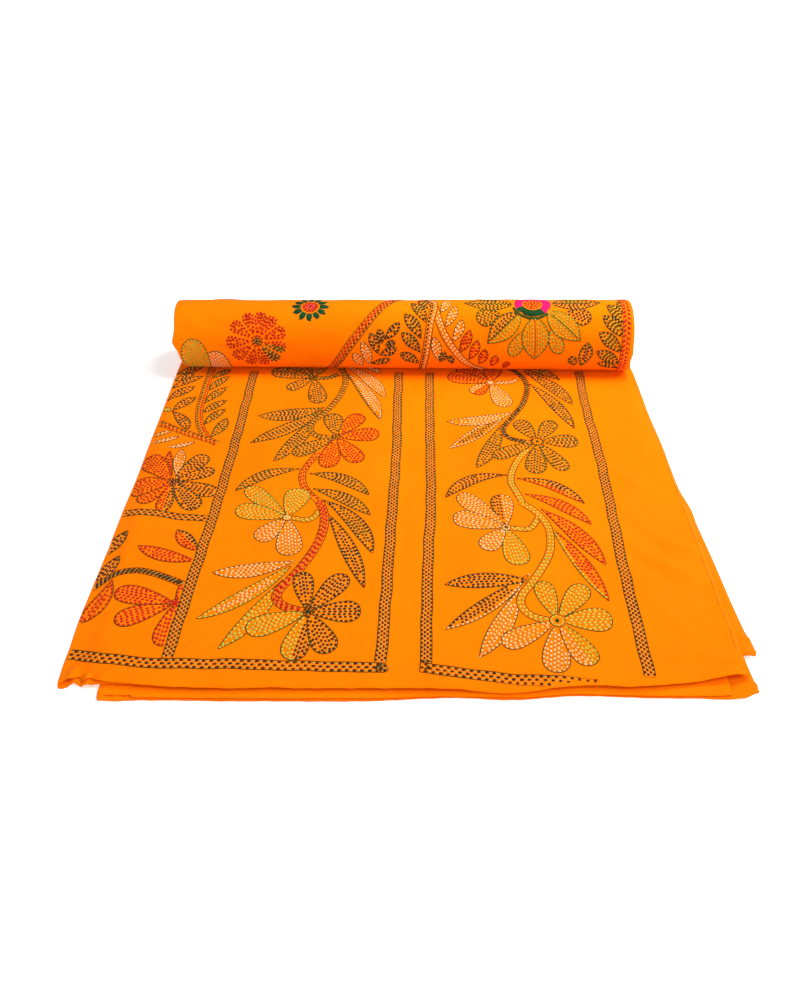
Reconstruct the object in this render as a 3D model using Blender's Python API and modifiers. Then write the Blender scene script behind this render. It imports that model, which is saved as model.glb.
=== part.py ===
"""Kantha quilt: one hemmed sheet, folded in half both ways, its closed end rolled up on top.

Metres, +Z up. +X runs along the roll, -Y is the front, where the open ends of the four
layers lie. The origin is under the middle of the quilt, on the surface that it rests on.

From the top down, the four flat layers are called top, second, third and bottom. The top
and second layers meet at the left-hand fold, and so do the third and bottom layers. The
stack runs back, then up, over and forward as the roll, where its two pairs of layers join.
"""

import math
from collections import namedtuple

import bmesh
import bpy

CLOTH_THICKNESS = 0.0018
LAYER_PITCH = 0.0038
FRONT_Y = -0.3434
SHIFT_X = 0.002
FLAT_RUN = 0.639
ROLL_RADIUS = 0.0577
ROLL_TURNS = 1.875
STEPS_PER_TURN = 16
TURN_BACK_STEPS = 6
SIDE_FOLD_STEPS = 4
SAG_START = 0.001
SAG_REACH = 0.035
FRONT_FADE = 0.10

ROLL_LENGTH = 0.717

# The roll is a little flatter at its left-hand end and plumper at its right-hand end.
LEFT_RISE = -0.0030
RIGHT_RISE = 0.0045
RISE_START = 0.016
RISE_REACH = 0.022

# Its front has sunk back and down between two angles round it, most of all half-way.
SINK_START = 2.9
SINK_END = 6.2
SINK_BACK = 0.0134
SINK_DOWN = 0.0086
SINK_SPREAD = 0.0125

CLOTH_COLOUR = (0.93, 0.27, 0.005, 1.0)
CLOTH_ROUGHNESS = 0.85

STACK_MIDDLE = 1.5 * LAYER_PITCH + CLOTH_THICKNESS / 2
ROLL_TIGHTENING = 4 * LAYER_PITCH
ROLL_ANGLE = 2 * math.pi * ROLL_TURNS
FOLD_RADIUS = LAYER_PITCH / 2
SAG_DROP = 2 * LAYER_PITCH - 0.0002

# Where the left-hand fold and the two right-hand hems of each pair of layers lie, by
# distance back from the front line and on round the roll.
Sides = namedtuple("Sides", "run fold outer_hem inner_hem")
UPPER_SIDES = (
    Sides(0.000, -0.3850, 0.3725, 0.3875),
    Sides(0.006, -0.3852, 0.3723, 0.3895),
    Sides(0.020, -0.3866, 0.3718, 0.3897),
    Sides(0.035, -0.3875, 0.3706, 0.3888),
    Sides(0.055, -0.3880, 0.3710, 0.3880),
    Sides(0.090, -0.3902, 0.3712, 0.3853),
    Sides(0.140, -0.3900, 0.3690, 0.3818),
    Sides(0.200, -0.3900, 0.3683, 0.3793),
    Sides(0.270, -0.3908, 0.3675, 0.3750),
    Sides(0.300, -0.3908, 0.3668, 0.3747),
    Sides(0.335, -0.3904, 0.3660, 0.3680),
    Sides(0.370, -0.3905, 0.3653, 0.3652),
    Sides(0.430, -0.3915, 0.3650, 0.3640),
    Sides(0.500, -0.3918, 0.3616, 0.3605),
    Sides(0.560, -0.3919, 0.3600, 0.3585),
    Sides(0.639, -0.3920, 0.3555, 0.3540),
    Sides(0.740, -0.3840, 0.3410, 0.3410),
    Sides(0.920, -0.3790, 0.3375, 0.3390),
    Sides(1.200, -0.3770, 0.3350, 0.3370),
)
LOWER_SIDES = (
    Sides(-0.015, -0.3370, 0.3810, 0.3480),
    Sides(0.030, -0.3395, 0.3775, 0.3475),
    Sides(0.060, -0.3420, 0.3760, 0.3450),
    Sides(0.639, -0.3800, 0.3355, 0.3100),
    Sides(0.765, -0.3822, 0.3368, 0.3180),
    Sides(0.786, -0.3832, 0.3372, 0.3195),
    Sides(0.812, -0.3818, 0.3366, 0.3205),
    Sides(0.848, -0.3795, 0.3370, 0.3215),
    Sides(0.858, -0.3812, 0.3372, 0.3220),
    Sides(0.868, -0.3836, 0.3374, 0.3225),
    Sides(0.875, -0.3806, 0.3382, 0.3230),
    Sides(0.884, -0.3764, 0.3392, 0.3230),
    Sides(0.898, -0.3752, 0.3388, 0.3235),
    Sides(0.914, -0.3742, 0.3428, 0.3245),
    Sides(0.940, -0.3750, 0.3445, 0.3260),
    Sides(1.200, -0.3765, 0.3370, 0.3310),
)

# How far each layer's front edge lies behind the front line, from left to right.
Fronts = namedtuple("Fronts", "across top second third bottom")
FRONTS = (
    Fronts(-0.385, 0.0030, 0.0010, -0.0100, -0.0115),
    Fronts(-0.372, 0.0085, 0.0010, -0.0100, -0.0115),
    Fronts(-0.336, 0.0050, 0.0030, -0.0105, -0.0128),
    Fronts(-0.241, -0.0010, 0.0050, -0.0095, -0.0110),
    Fronts(-0.054, 0.0022, 0.0080, -0.0070, -0.0085),
    Fronts(0.050, 0.0030, 0.0090, -0.0015, -0.0020),
    Fronts(0.113, 0.0005, 0.0120, -0.0025, -0.0035),
    Fronts(0.182, 0.0095, 0.0200, 0.0040, 0.0030),
    Fronts(0.262, 0.0115, 0.0320, 0.0030, 0.0020),
    Fronts(0.313, 0.0175, 0.0430, 0.0040, 0.0025),
    Fronts(0.362, 0.0270, 0.0500, 0.0060, 0.0025),
    Fronts(0.381, 0.0320, 0.0560, 0.0080, 0.0110),
)

# Grid lines: distance in from the left-hand fold, and distance back from the front line.
FOLD_TO_HEM = (0.012, 0.030, 0.055, 0.120, 0.240, 0.380, 0.520, 0.620, 0.690, 1.0)
FRONT_TO_ROLL = (0.0, 0.006, 0.015, 0.045, 0.090, 0.180, 0.320, 0.480, 0.580)


def smooth_step(value):
    value = min(max(value, 0.0), 1.0)
    return value * value * (3 - 2 * value)


def read_row(table, column, place):
    """The column's value at a place along the table's first column, on a smooth curve."""
    places = [row[0] for row in table]
    values = [getattr(row, column) for row in table]
    if place <= places[0]:
        return values[0]
    if place >= places[-1]:
        return values[-1]
    at = max(index for index in range(len(places) - 1) if places[index] <= place)
    slopes = []
    for index in (at, at + 1):
        low = max(index - 1, 0)
        high = min(index + 1, len(places) - 1)
        slopes.append((values[high] - values[low]) / (places[high] - places[low]))
    span = places[at + 1] - places[at]
    part = (place - places[at]) / span
    start = (1 + 2 * part) * (1 - part) ** 2
    start_slope = part * (1 - part) ** 2
    end_slope = part * part * (part - 1)
    return (
        start * values[at]
        + (1 - start) * values[at + 1]
        + span * (start_slope * slopes[0] + end_slope * slopes[1])
    )


def roll_run(angle):
    """Distance along the middle of the stack that a given angle round the roll takes."""
    return FLAT_RUN + ROLL_RADIUS * angle - ROLL_TIGHTENING * angle**2 / (4 * math.pi)


def stack_line(run, angle):
    """Middle of the stack, and the direction to its top layer, as (y, z) pairs."""
    if angle <= 0:
        return (FRONT_Y + run, STACK_MIDDLE), (0.0, 1.0)
    radius = ROLL_RADIUS - ROLL_TIGHTENING * angle / (2 * math.pi)
    axis_y = FRONT_Y + FLAT_RUN
    axis_z = STACK_MIDDLE + ROLL_RADIUS
    place = (axis_y + radius * math.sin(angle), axis_z - radius * math.cos(angle))
    return place, (-math.sin(angle), math.cos(angle))


def sheet_lines():
    """Every grid line from the top layer's front edge to the bottom layer's, in order.

    Each is (run, angle, turn): turn is 0 on the upper pair of layers, pi on the lower pair,
    and between them where the cloth turns back inside the roll.
    """
    one_way = [(run, 0.0) for run in FRONT_TO_ROLL]
    steps = round(ROLL_TURNS * STEPS_PER_TURN)
    for step in range(steps + 1):
        angle = ROLL_ANGLE * step / steps
        one_way.append((roll_run(angle), angle))
    lines = [(run, angle, 0.0) for run, angle in one_way]
    end_run, end_angle = one_way[-1]
    for step in range(1, TURN_BACK_STEPS):
        lines.append((end_run, end_angle, math.pi * step / TURN_BACK_STEPS))
    lines += [(run, angle, math.pi) for run, angle in reversed(one_way)]
    return lines


def side_lines():
    """Every grid line across, from one hem round the left-hand fold to the other hem.

    Each is (inwards, fold): inwards is the share of the way from fold to hem, and fold is
    the angle round the fold, 90 degrees on the outer side to -90 degrees on the inner side.
    """
    quarter = math.pi / 2
    half_width = UPPER_SIDES[0].outer_hem - UPPER_SIDES[0].fold
    shares = [min(place / half_width, 1.0) for place in FOLD_TO_HEM]
    outer = [(share, quarter) for share in reversed(shares)]
    inner = [(share, -quarter) for share in shares]
    fold = []
    for step in range(SIDE_FOLD_STEPS + 1):
        fold.append((0.0, quarter - math.pi * step / SIDE_FOLD_STEPS))
    return outer + fold + inner


def side_place(run, turn, inwards, fold):
    """X of a point, between the left-hand fold and the hem of its layer."""
    hem = "outer_hem" if fold > 0 else "inner_hem"
    lower = turn / math.pi
    left = (1 - lower) * read_row(UPPER_SIDES, "fold", run)
    left += lower * read_row(LOWER_SIDES, "fold", run)
    right = (1 - lower) * read_row(UPPER_SIDES, hem, run)
    right += lower * read_row(LOWER_SIDES, hem, run)
    start = left + FOLD_RADIUS * (1 - math.cos(fold)) + SHIFT_X
    right += SHIFT_X
    return start + inwards * (right - start)


def front_setback(x, run, turn, fold):
    """How far a point is moved back by the uneven front edge of its layer."""
    if run >= FRONT_FADE:
        return 0.0
    outer = (1 + math.sin(fold)) / 2
    names = ("top", "second") if turn == 0 else ("bottom", "third")
    setback = outer * read_row(FRONTS, names[0], x) + (1 - outer) * read_row(FRONTS, names[1], x)
    return setback * (1 - smooth_step(run / FRONT_FADE))


def sag(x, run, turn):
    """How far the upper pair drops where it reaches past the sides of the lower pair."""
    if turn > 0 or run > FLAT_RUN:
        return 0.0
    past_left = read_row(LOWER_SIDES, "fold", run) - SAG_START - x
    past_right = x - read_row(LOWER_SIDES, "outer_hem", run) - SAG_START
    drop = smooth_step(past_left / SAG_REACH) + smooth_step(past_right / SAG_REACH)
    near_roll = smooth_step((FLAT_RUN - run) / (2 * ROLL_RADIUS))
    return SAG_DROP * drop * near_roll


def rise(x, z):
    """How much higher a point of the roll lies than on a roll of even plumpness."""
    share = 0.5 + x / ROLL_LENGTH
    height = LEFT_RISE + (RIGHT_RISE - LEFT_RISE) * share
    return height * smooth_step((z - RISE_START) / RISE_REACH)


def sunk(angle):
    """How far the roll's front has sunk at an angle round it, as a share of the most."""
    part = (angle % (2 * math.pi) - SINK_START) / (SINK_END - SINK_START)
    return math.sin(math.pi * min(max(part, 0.0), 1.0)) ** 2


def cloth_point(line, side):
    """Middle of the cloth at one crossing of the grid's lines."""
    run, angle, turn = line
    inwards, fold = side
    (y, z), (up_y, up_z) = stack_line(run, angle)
    back_y, back_z = up_z, -up_y
    out_y = math.cos(turn) * up_y + math.sin(turn) * back_y
    out_z = math.cos(turn) * up_z + math.sin(turn) * back_z
    offset = LAYER_PITCH + FOLD_RADIUS * math.sin(fold)
    x = side_place(run, turn, inwards, fold)
    y += offset * out_y + front_setback(x, run, turn, fold)
    z += offset * out_z - sag(x, run, turn)
    if angle > 0:
        z += rise(x, z)
        share = sunk(angle)
        x += SINK_SPREAD * share * x
        y += SINK_BACK * share
        z -= SINK_DOWN * share
    return x, y, z


def make_material():
    material = bpy.data.materials.new("orange_cotton")
    material.use_nodes = True
    shader = material.node_tree.nodes["Principled BSDF"]
    shader.inputs["Base Color"].default_value = CLOTH_COLOUR
    shader.inputs["Roughness"].default_value = CLOTH_ROUGHNESS
    shader.inputs["Metallic"].default_value = 0.0
    return material


def make_quilt(collection):
    """The whole quilt: a flat grid laid onto the folded and rolled shape, given thickness."""
    lines = sheet_lines()
    sides = side_lines()
    sheet = bmesh.new()
    bmesh.ops.create_grid(
        sheet, x_segments=len(sides) - 1, y_segments=len(lines) - 1, size=1.0
    )
    for vertex in sheet.verts:
        across = round((vertex.co.x + 1) / 2 * (len(sides) - 1))
        along = round((vertex.co.y + 1) / 2 * (len(lines) - 1))
        vertex.co = cloth_point(lines[along], sides[across])
    mesh = bpy.data.meshes.new("quilt")
    sheet.to_mesh(mesh)
    sheet.free()
    mesh.shade_smooth()
    mesh.set_sharp_from_angle(angle=math.radians(50))
    mesh.materials.append(make_material())
    quilt = bpy.data.objects.new("quilt", mesh)
    collection.objects.link(quilt)
    cloth = quilt.modifiers.new("cloth thickness", "SOLIDIFY")
    cloth.thickness = CLOTH_THICKNESS
    cloth.offset = 0.0
    cloth.use_even_offset = True
    cloth.use_quality_normals = True
    return quilt


def main():
    for scene_object in list(bpy.data.objects):
        bpy.data.objects.remove(scene_object, do_unlink=True)
    collection = bpy.data.collections.new("kantha_quilt")
    bpy.context.scene.collection.children.link(collection)
    make_quilt(collection)


main()
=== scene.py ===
"""Kantha quilt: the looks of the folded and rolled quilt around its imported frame.

The cloth is one sheet, laid on the same folds as its solid. Every running stitch and every
drawn outline is its own small shape on that sheet. The motifs are worked out from short
tables of places and sizes, in millimetres on two charts:

flat: x across the quilt, and the distance back from the front line;
roll: x across the quilt, and the distance round the roll from its top, forward and down.
"""

import math
import random
from collections import namedtuple

import bpy
import numpy as np
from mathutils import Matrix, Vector
from mathutils.kdtree import KDTree


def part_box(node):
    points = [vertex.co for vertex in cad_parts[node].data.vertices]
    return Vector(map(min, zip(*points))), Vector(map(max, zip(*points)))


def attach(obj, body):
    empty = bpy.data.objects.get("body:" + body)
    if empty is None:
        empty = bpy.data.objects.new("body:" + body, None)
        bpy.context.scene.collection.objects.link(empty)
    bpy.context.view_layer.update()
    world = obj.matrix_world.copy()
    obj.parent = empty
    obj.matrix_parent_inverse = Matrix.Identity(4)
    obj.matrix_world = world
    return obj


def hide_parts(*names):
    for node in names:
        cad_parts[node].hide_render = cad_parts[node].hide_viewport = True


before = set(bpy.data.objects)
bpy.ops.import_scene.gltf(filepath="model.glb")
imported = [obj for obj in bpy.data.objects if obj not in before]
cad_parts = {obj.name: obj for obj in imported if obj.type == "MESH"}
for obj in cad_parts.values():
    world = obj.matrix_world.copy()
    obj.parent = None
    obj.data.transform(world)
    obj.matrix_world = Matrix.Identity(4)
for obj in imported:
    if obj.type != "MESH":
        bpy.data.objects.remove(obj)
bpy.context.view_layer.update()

LOW, HIGH = (Vector(corner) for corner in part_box("quilt"))
MM = 0.001
TAU = 2 * math.pi

# ---------------------------------------------------------------- the folded shape, metres
LAYER_PITCH = 0.0038
SOLID_THICKNESS = 0.0018
CLOTH_THICKNESS = 0.0013
HEM_THICKNESS = 0.0021
HEM_WIDTH, HEM_STEP = 0.010, 0.002
# the cloth thins towards its edge, over a distance, down to a share of its thickness
EDGE_ROUNDING, EDGE_SHARE, RIM_REACH = 0.0035, 0.35, 0.0005
FOLDED_WIDTH = 0.7565
FRONT_Y = LOW.y + 0.0128
SHIFT_X = (LOW.x + HIGH.x) / 2 + 0.00205
GROUND_Z = LOW.z
FLAT_RUN = 0.639
ROLL_RADIUS = 0.0577
ROLL_TURNS = 1.875
ROLL_LENGTH = 0.717
# how much the roll's top is moved up at its left-hand and at its right-hand end
LEFT_RISE, RIGHT_RISE = -0.0030, 0.0045
RISE_START, RISE_REACH = 0.016, 0.022
# the part of a turn, in radians, over which the roll's front has sunk, and how far it has
# moved: outwards as a share of x, back, and up
SINK_START, SINK_END = 2.9, 6.2
SINK_MOVE = np.array((0.0125, 0.0134, -0.0086))
SAG_START, SAG_REACH = 0.001, 0.035
FRONT_FADE = 0.10
# where the creases of the flat part fade out, by run, and those of the roll, by angle
CREASE_END, CREASE_FADE = 0.60, 0.05
ROLL_CREASE_START, ROLL_CREASE_END, ROLL_CREASE_FADE = 0.25, 1.80 * math.pi, 0.5
ROLL_SWELL = 1.3
# heights of the slow unevenness of the cloth, and of the wandering of its front edges
BROAD_SWELL, NARROW_SWELL, EDGE_WAVER = 0.00045, 0.00022, 0.0003
HEM_DROOP, HEM_DROOP_REACH = 0.0010, 0.009
SIDE_DROOP, SIDE_DROOP_REACH = 0.0012, 0.007
# the top layer hangs where it reaches past the second one, and more at the left
OVERHANG_DROOP, LEFT_OVERHANG_DROOP, OVERHANG_REACH = 0.0010, 0.0026, 0.012
OVERHANG_START, LEFT_END, LEFT_FADE = 0.002, 0.06, 0.14
# how much of the top layer's relief shows in the layer under it
BENEATH_SHARE = 0.3

STACK_MIDDLE = GROUND_Z + 1.5 * LAYER_PITCH + SOLID_THICKNESS / 2
ROLL_TIGHTENING = 4 * LAYER_PITCH
ROLL_ANGLE = TAU * ROLL_TURNS
FOLD_RADIUS = LAYER_PITCH / 2
SAG_DROP = 2 * LAYER_PITCH - 0.0002
OUTER_OFFSET = LAYER_PITCH + FOLD_RADIUS


def named_rows(kind, *rows):
    return [kind(*row) for row in rows]


# X of the left-hand fold and of the hems at the right, at distances along the cloth.
Sides = namedtuple("Sides", "run fold outer_hem inner_hem")
UPPER_SIDES = named_rows(
    Sides,
    (0.000, -0.3850, 0.3725, 0.3875), (0.006, -0.3852, 0.3723, 0.3895),
    (0.020, -0.3866, 0.3718, 0.3897), (0.035, -0.3875, 0.3706, 0.3888),
    (0.055, -0.3880, 0.3710, 0.3880), (0.090, -0.3902, 0.3712, 0.3853),
    (0.140, -0.3900, 0.3690, 0.3818), (0.200, -0.3900, 0.3683, 0.3793),
    (0.270, -0.3908, 0.3675, 0.3750), (0.300, -0.3908, 0.3668, 0.3747),
    (0.335, -0.3904, 0.3660, 0.3680), (0.370, -0.3905, 0.3653, 0.3652),
    (0.430, -0.3915, 0.3650, 0.3640), (0.500, -0.3918, 0.3616, 0.3605),
    (0.560, -0.3919, 0.3600, 0.3585), (0.639, -0.3920, 0.3555, 0.3540),
    (0.740, -0.3840, 0.3410, 0.3410), (0.920, -0.3790, 0.3375, 0.3390),
    (1.200, -0.3770, 0.3350, 0.3370),
)
LOWER_SIDES = named_rows(
    Sides,
    (-0.015, -0.3370, 0.3810, 0.3480), (0.030, -0.3395, 0.3775, 0.3475),
    (0.060, -0.3420, 0.3760, 0.3450), (0.639, -0.3800, 0.3355, 0.3100),
    (0.765, -0.3822, 0.3368, 0.3180), (0.786, -0.3832, 0.3372, 0.3195),
    (0.812, -0.3818, 0.3366, 0.3205), (0.848, -0.3795, 0.3370, 0.3215),
    (0.858, -0.3812, 0.3372, 0.3220), (0.868, -0.3836, 0.3374, 0.3225),
    (0.875, -0.3806, 0.3382, 0.3230), (0.884, -0.3764, 0.3392, 0.3230),
    (0.898, -0.3752, 0.3388, 0.3235), (0.914, -0.3742, 0.3428, 0.3245),
    (0.940, -0.3750, 0.3445, 0.3260), (1.200, -0.3765, 0.3370, 0.3310),
)
# How far back the front edge of each layer lies.
Fronts = namedtuple("Fronts", "across top second third bottom")
FRONTS = named_rows(
    Fronts,
    (-0.385, 0.0030, 0.0010, -0.0100, -0.0115), (-0.372, 0.0085, 0.0010, -0.0100, -0.0115),
    (-0.336, 0.0050, 0.0030, -0.0105, -0.0128), (-0.241, -0.0010, 0.0050, -0.0095, -0.0110),
    (-0.054, 0.0022, 0.0080, -0.0070, -0.0085), (0.050, 0.0030, 0.0090, -0.0015, -0.0020),
    (0.113, 0.0005, 0.0120, -0.0025, -0.0035), (0.182, 0.0095, 0.0200, 0.0040, 0.0030),
    (0.262, 0.0115, 0.0320, 0.0030, 0.0020), (0.313, 0.0175, 0.0430, 0.0040, 0.0025),
    (0.362, 0.0270, 0.0500, 0.0060, 0.0025), (0.381, 0.0320, 0.0560, 0.0080, 0.0110),
)
# Small waves of each layer's front edge: layer, where, how far to either side, how far back.
RIPPLES = (
    ("top", -0.3605, 0.0040, 0.0042), ("top", -0.3520, 0.0035, -0.0026),
    ("top", -0.3445, 0.0040, 0.0028), ("top", -0.1500, 0.0200, 0.0010),
    ("top", 0.2400, 0.0180, -0.0012), ("second", -0.3670, 0.0060, 0.0050),
    ("second", -0.3590, 0.0040, 0.0012), ("second", -0.3520, 0.0030, -0.0010),
    ("third", -0.3250, 0.0120, 0.0030), ("third", -0.3080, 0.0060, 0.0026),
    ("third", -0.3015, 0.0020, 0.0030), ("third", -0.0900, 0.0300, 0.0010),
    ("bottom", -0.2000, 0.0400, -0.0008), ("bottom", -0.3180, 0.0140, -0.0012),
)

# Soft ridges (and troughs, with a height below zero) of the top layer, in millimetres: from
# one place to another on the flat chart, the reach to either side, and the height.
FLAT_CREASES = (
    (-390, 211, 372, 213, 4, -0.5), (-9, 20, -6, 600, 5, -0.35),
    # right-hand margin
    (283, 372, 311, 340, 7, 2.0), (311, 340, 340, 322, 7, 1.6), (288, 336, 306, 290, 8, -1.6),
    (300, 262, 330, 228, 6, 2.2), (330, 228, 358, 217, 6, 2.0), (302, 236, 322, 211, 6, -1.8),
    (322, 208, 356, 199, 6, -1.4), (279, 226, 323, 183, 7, 2.5), (323, 183, 368, 157, 6, 2.3),
    (282, 198, 322, 158, 7, -2.1), (322, 156, 354, 140, 6, -1.5), (272, 164, 306, 105, 7, 1.3),
    (306, 103, 334, 74, 7, 1.5), (338, 102, 368, 86, 5, 1.9), (332, 84, 360, 72, 5, -1.4),
    (298, 84, 310, 76, 7, -1.4), (292, 52, 330, 50, 7, 1.3), (312, 60, 366, 44, 6, 1.5),
    (346, 128, 366, 122, 5, -1.3), (286, 450, 300, 520, 9, 1.0), (300, 440, 322, 400, 8, -1.0),
    (315, 430, 345, 540, 9, 1.1), (282, 300, 300, 260, 7, 0.9),
    # front left corner, where the hem is bunched
    (-371, -8, -368, 18, 7, 5.6), (-359, -8, -357, 9, 3, -3.0), (-352, -8, -349, 9, 3, 3.4),
    (-345, -8, -343, 9, 3, -1.0), (-337, -8, -332, 12, 4, 1.4),
    # along the front hem
    (-300, 6, -215, 3, 8, 0.8), (-120, 4, -60, 6, 9, -0.6), (85, 8, 140, 4, 9, -0.9),
    (205, 14, 285, 20, 9, 0.9), (334, 24, 356, 27, 8, 3.2), (366, 40, 371, 30, 4, -1.6),
    # middle
    (-240, 60, -150, 30, 12, 0.9), (-230, 470, -200, 330, 10, 0.8), (-10, 150, 12, 260, 11, 0.9),
    (-14, 300, 8, 340, 9, -0.8), (-60, 330, -30, 440, 12, 0.8), (-375, 60, -360, 200, 8, 1.0),
    (60, 560, 30, 470, 10, 0.8), (230, 400, 250, 300, 10, 0.8), (-12, 560, 14, 480, 10, 0.9),
)
# The same where the second layer and the lowest one show past the layers over them.
SECOND_CREASES = (
    (-375, -6, -372, 12, 3.0, -0.9), (-366, -6, -364, 12, 3.0, 3.0),
    (-358, -6, -357, 12, 2.6, -1.3), (-351, -6, -350, 12, 2.6, 2.8),
    (-344, -6, -343, 12, 2.6, -0.8), (370, 90, 390, 80, 4.0, 1.4), (374, 59, 394, 60, 3.0, 3.8),
)
LOWEST_CREASES = (
    (352, 0, 376, 7, 3.0, 2.0), (360, 17, 386, 20, 4.0, 2.4), (-332, -10, -326, 6, 3.5, 1.8),
    (-316, -10, -312, 2, 3.0, 1.4),
)
# The same on the roll's chart.
ROLL_CREASES = (
    (-340, 30, -285, 48, 9, -0.9), (-365, 8, -330, 60, 12, 0.6), (-225, 92, -120, 104, 10, -0.6),
    (150, 96, 260, 108, 10, 0.7), (250, 20, 320, 46, 12, -0.5), (-120, -80, 30, -60, 14, 0.7),
    (60, -110, 220, -90, 12, -0.6),
)


def smooth_step(value):
    value = np.clip(value, 0.0, 1.0)
    return value * value * (3 - 2 * value)


def stacked(*parts):
    """The parts as the last axis of one array."""
    return np.stack(np.broadcast_arrays(*parts), axis=-1)


def unit(vectors):
    return vectors / np.maximum(np.linalg.norm(vectors, axis=-1, keepdims=True), 1e-12)


def left_of(ways):
    """The directions on a chart, turned a quarter to the left."""
    return stacked(-ways[..., 1], ways[..., 0])


def lengths_along(points):
    """Distance of each point from the first, along the line that joins them."""
    return np.r_[0, np.cumsum(np.linalg.norm(np.diff(points, axis=0), axis=-1))]


def read_row(table, column, place):
    """The column's value at each place along the table's first column, on a smooth curve."""
    places = np.array([row[0] for row in table])
    values = np.array([getattr(row, column) for row in table])
    last = len(places) - 1
    high = np.minimum(np.arange(last + 1) + 1, last)
    low = np.maximum(np.arange(last + 1) - 1, 0)
    slopes = (values[high] - values[low]) / (places[high] - places[low])
    place = np.clip(place, places[0], places[-1])
    row = np.clip(np.searchsorted(places, place, side="right") - 1, 0, last - 1)
    span = places[row + 1] - places[row]
    part = (place - places[row]) / span
    start = (1 + 2 * part) * (1 - part) ** 2
    start_slope = part * (1 - part) ** 2
    end_slope = part * part * (part - 1)
    curve = start * values[row] + (1 - start) * values[row + 1]
    return curve + span * (start_slope * slopes[row] + end_slope * slopes[row + 1])


def roll_run(angle):
    """Distance along the cloth at an angle of the roll."""
    return FLAT_RUN + ROLL_RADIUS * angle - ROLL_TIGHTENING * angle**2 / (2 * TAU)


def side_place(run, turn, inwards, fold):
    """X of each point, between the left-hand fold and the hem of its layer."""
    lower = turn / math.pi

    def between(column):
        upper_part = (1 - lower) * read_row(UPPER_SIDES, column, run)
        return upper_part + lower * read_row(LOWER_SIDES, column, run)

    hems = [between(column) + SHIFT_X for column in ("outer_hem", "inner_hem")]
    right = np.where(fold > 0, *hems)
    start = between("fold") + FOLD_RADIUS * (1 - np.cos(fold)) + SHIFT_X
    return start + inwards * (right - start)


def front_edge(layer, x):
    """How far back the layer's front edge lies at each x."""
    edge = read_row(FRONTS, layer, x)
    for own_layer, across, reach, setback in RIPPLES:
        if own_layer == layer:
            edge = edge + setback * np.exp(-(((x - across) / reach) ** 2))
    start = len(layer)
    return edge + EDGE_WAVER * np.sin(x * 260 + start * 1.7) * np.sin(x * 71 + start)


def front_setback(x, run, turn, fold):
    """How far each point is moved back by the uneven front edge of its layer."""
    outer = (1 + np.sin(fold)) / 2
    upper = outer * front_edge("top", x) + (1 - outer) * front_edge("second", x)
    lower = outer * front_edge("bottom", x) + (1 - outer) * front_edge("third", x)
    setback = np.where(turn == 0, upper, lower)
    return setback * (1 - smooth_step(run / FRONT_FADE))


def sag(x, run):
    """How far the upper pair drops where it reaches past the sides of the lower pair."""
    past_left = read_row(LOWER_SIDES, "fold", run) - SAG_START - x
    past_right = x - read_row(LOWER_SIDES, "outer_hem", run) - SAG_START
    drop = smooth_step(past_left / SAG_REACH) + smooth_step(past_right / SAG_REACH)
    return SAG_DROP * drop * smooth_step((FLAT_RUN - run) / (2 * ROLL_RADIUS))


def creased(creases, x, along):
    """Sum of the soft ridges and troughs at each place of a chart."""
    height = np.zeros(np.broadcast(x, along).shape)
    for x1, along1, x2, along2, reach, rise in creases:
        start = np.array((x1, along1)) * MM
        step = np.array((x2, along2)) * MM - start
        part = ((x - start[0]) * step[0] + (along - start[1]) * step[1]) / (step @ step)
        part = np.clip(part, 0.0, 1.0)
        aside = np.hypot(x - start[0] - part * step[0], along - start[1] - part * step[1])
        height = height + rise * MM * np.exp(-((aside / (reach * MM)) ** 2))
    return height


def swell(x, along):
    """The faint, slow unevenness of cloth that lies on cloth."""
    broad = np.sin(x * 41 + along * 13 + 0.6) * np.sin(along * 33 - x * 9 + 1.9)
    narrow = np.sin(x * 97 - along * 61) * np.sin(along * 83 + x * 29 + 2.2)
    return BROAD_SWELL * broad + NARROW_SWELL * narrow


def flat_relief(x, run):
    near_roll = smooth_step((CREASE_END - run) / CREASE_FADE)
    return (creased(FLAT_CREASES, x, run) + swell(x, run)) * near_roll


def hem_droop(layer, x, run):
    """How far a layer's front hem hangs down to the layer under it."""
    return HEM_DROOP * (1 - smooth_step((run - front_edge(layer, x)) / HEM_DROOP_REACH))


def top_droop(x, run):
    """How far the top layer's front and right-hand hems hang down."""
    past_second = front_edge("second", x) - run - OVERHANG_START
    near_left = 1 - smooth_step((x - LEFT_END) / LEFT_FADE)
    overhang = OVERHANG_DROOP + LEFT_OVERHANG_DROOP * near_left
    drop = hem_droop("top", x, run) + overhang * smooth_step(past_second / OVERHANG_REACH)
    from_hem = read_row(UPPER_SIDES, "outer_hem", run) + SHIFT_X - x
    return drop + SIDE_DROOP * (1 - smooth_step(from_hem / SIDE_DROOP_REACH))


OUTER_RADIUS = ROLL_RADIUS + OUTER_OFFSET + CLOTH_THICKNESS / 2
TIGHTENING = ROLL_TIGHTENING / (2 * TAU)


def round_from_top(angle):
    """Distance on the roll's outer surface from its top to an angle, forward and down."""
    return OUTER_RADIUS * (angle - math.pi) - TIGHTENING * (angle**2 - math.pi**2)


def angle_round(distance):
    """The angle of a distance on the roll's outer surface: the inverse of the above."""
    whole = distance + OUTER_RADIUS * math.pi - TIGHTENING * math.pi**2
    return (OUTER_RADIUS - np.sqrt(OUTER_RADIUS**2 - 4 * TIGHTENING * whole)) / (2 * TIGHTENING)


def roll_relief(x, angle):
    around = round_from_top(angle)
    shown = smooth_step((angle - ROLL_CREASE_START) / ROLL_CREASE_FADE)
    shown = shown * smooth_step((ROLL_CREASE_END - angle) / ROLL_CREASE_FADE)
    return (creased(ROLL_CREASES, x, around) + ROLL_SWELL * swell(x, around + 0.4)) * shown


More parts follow.
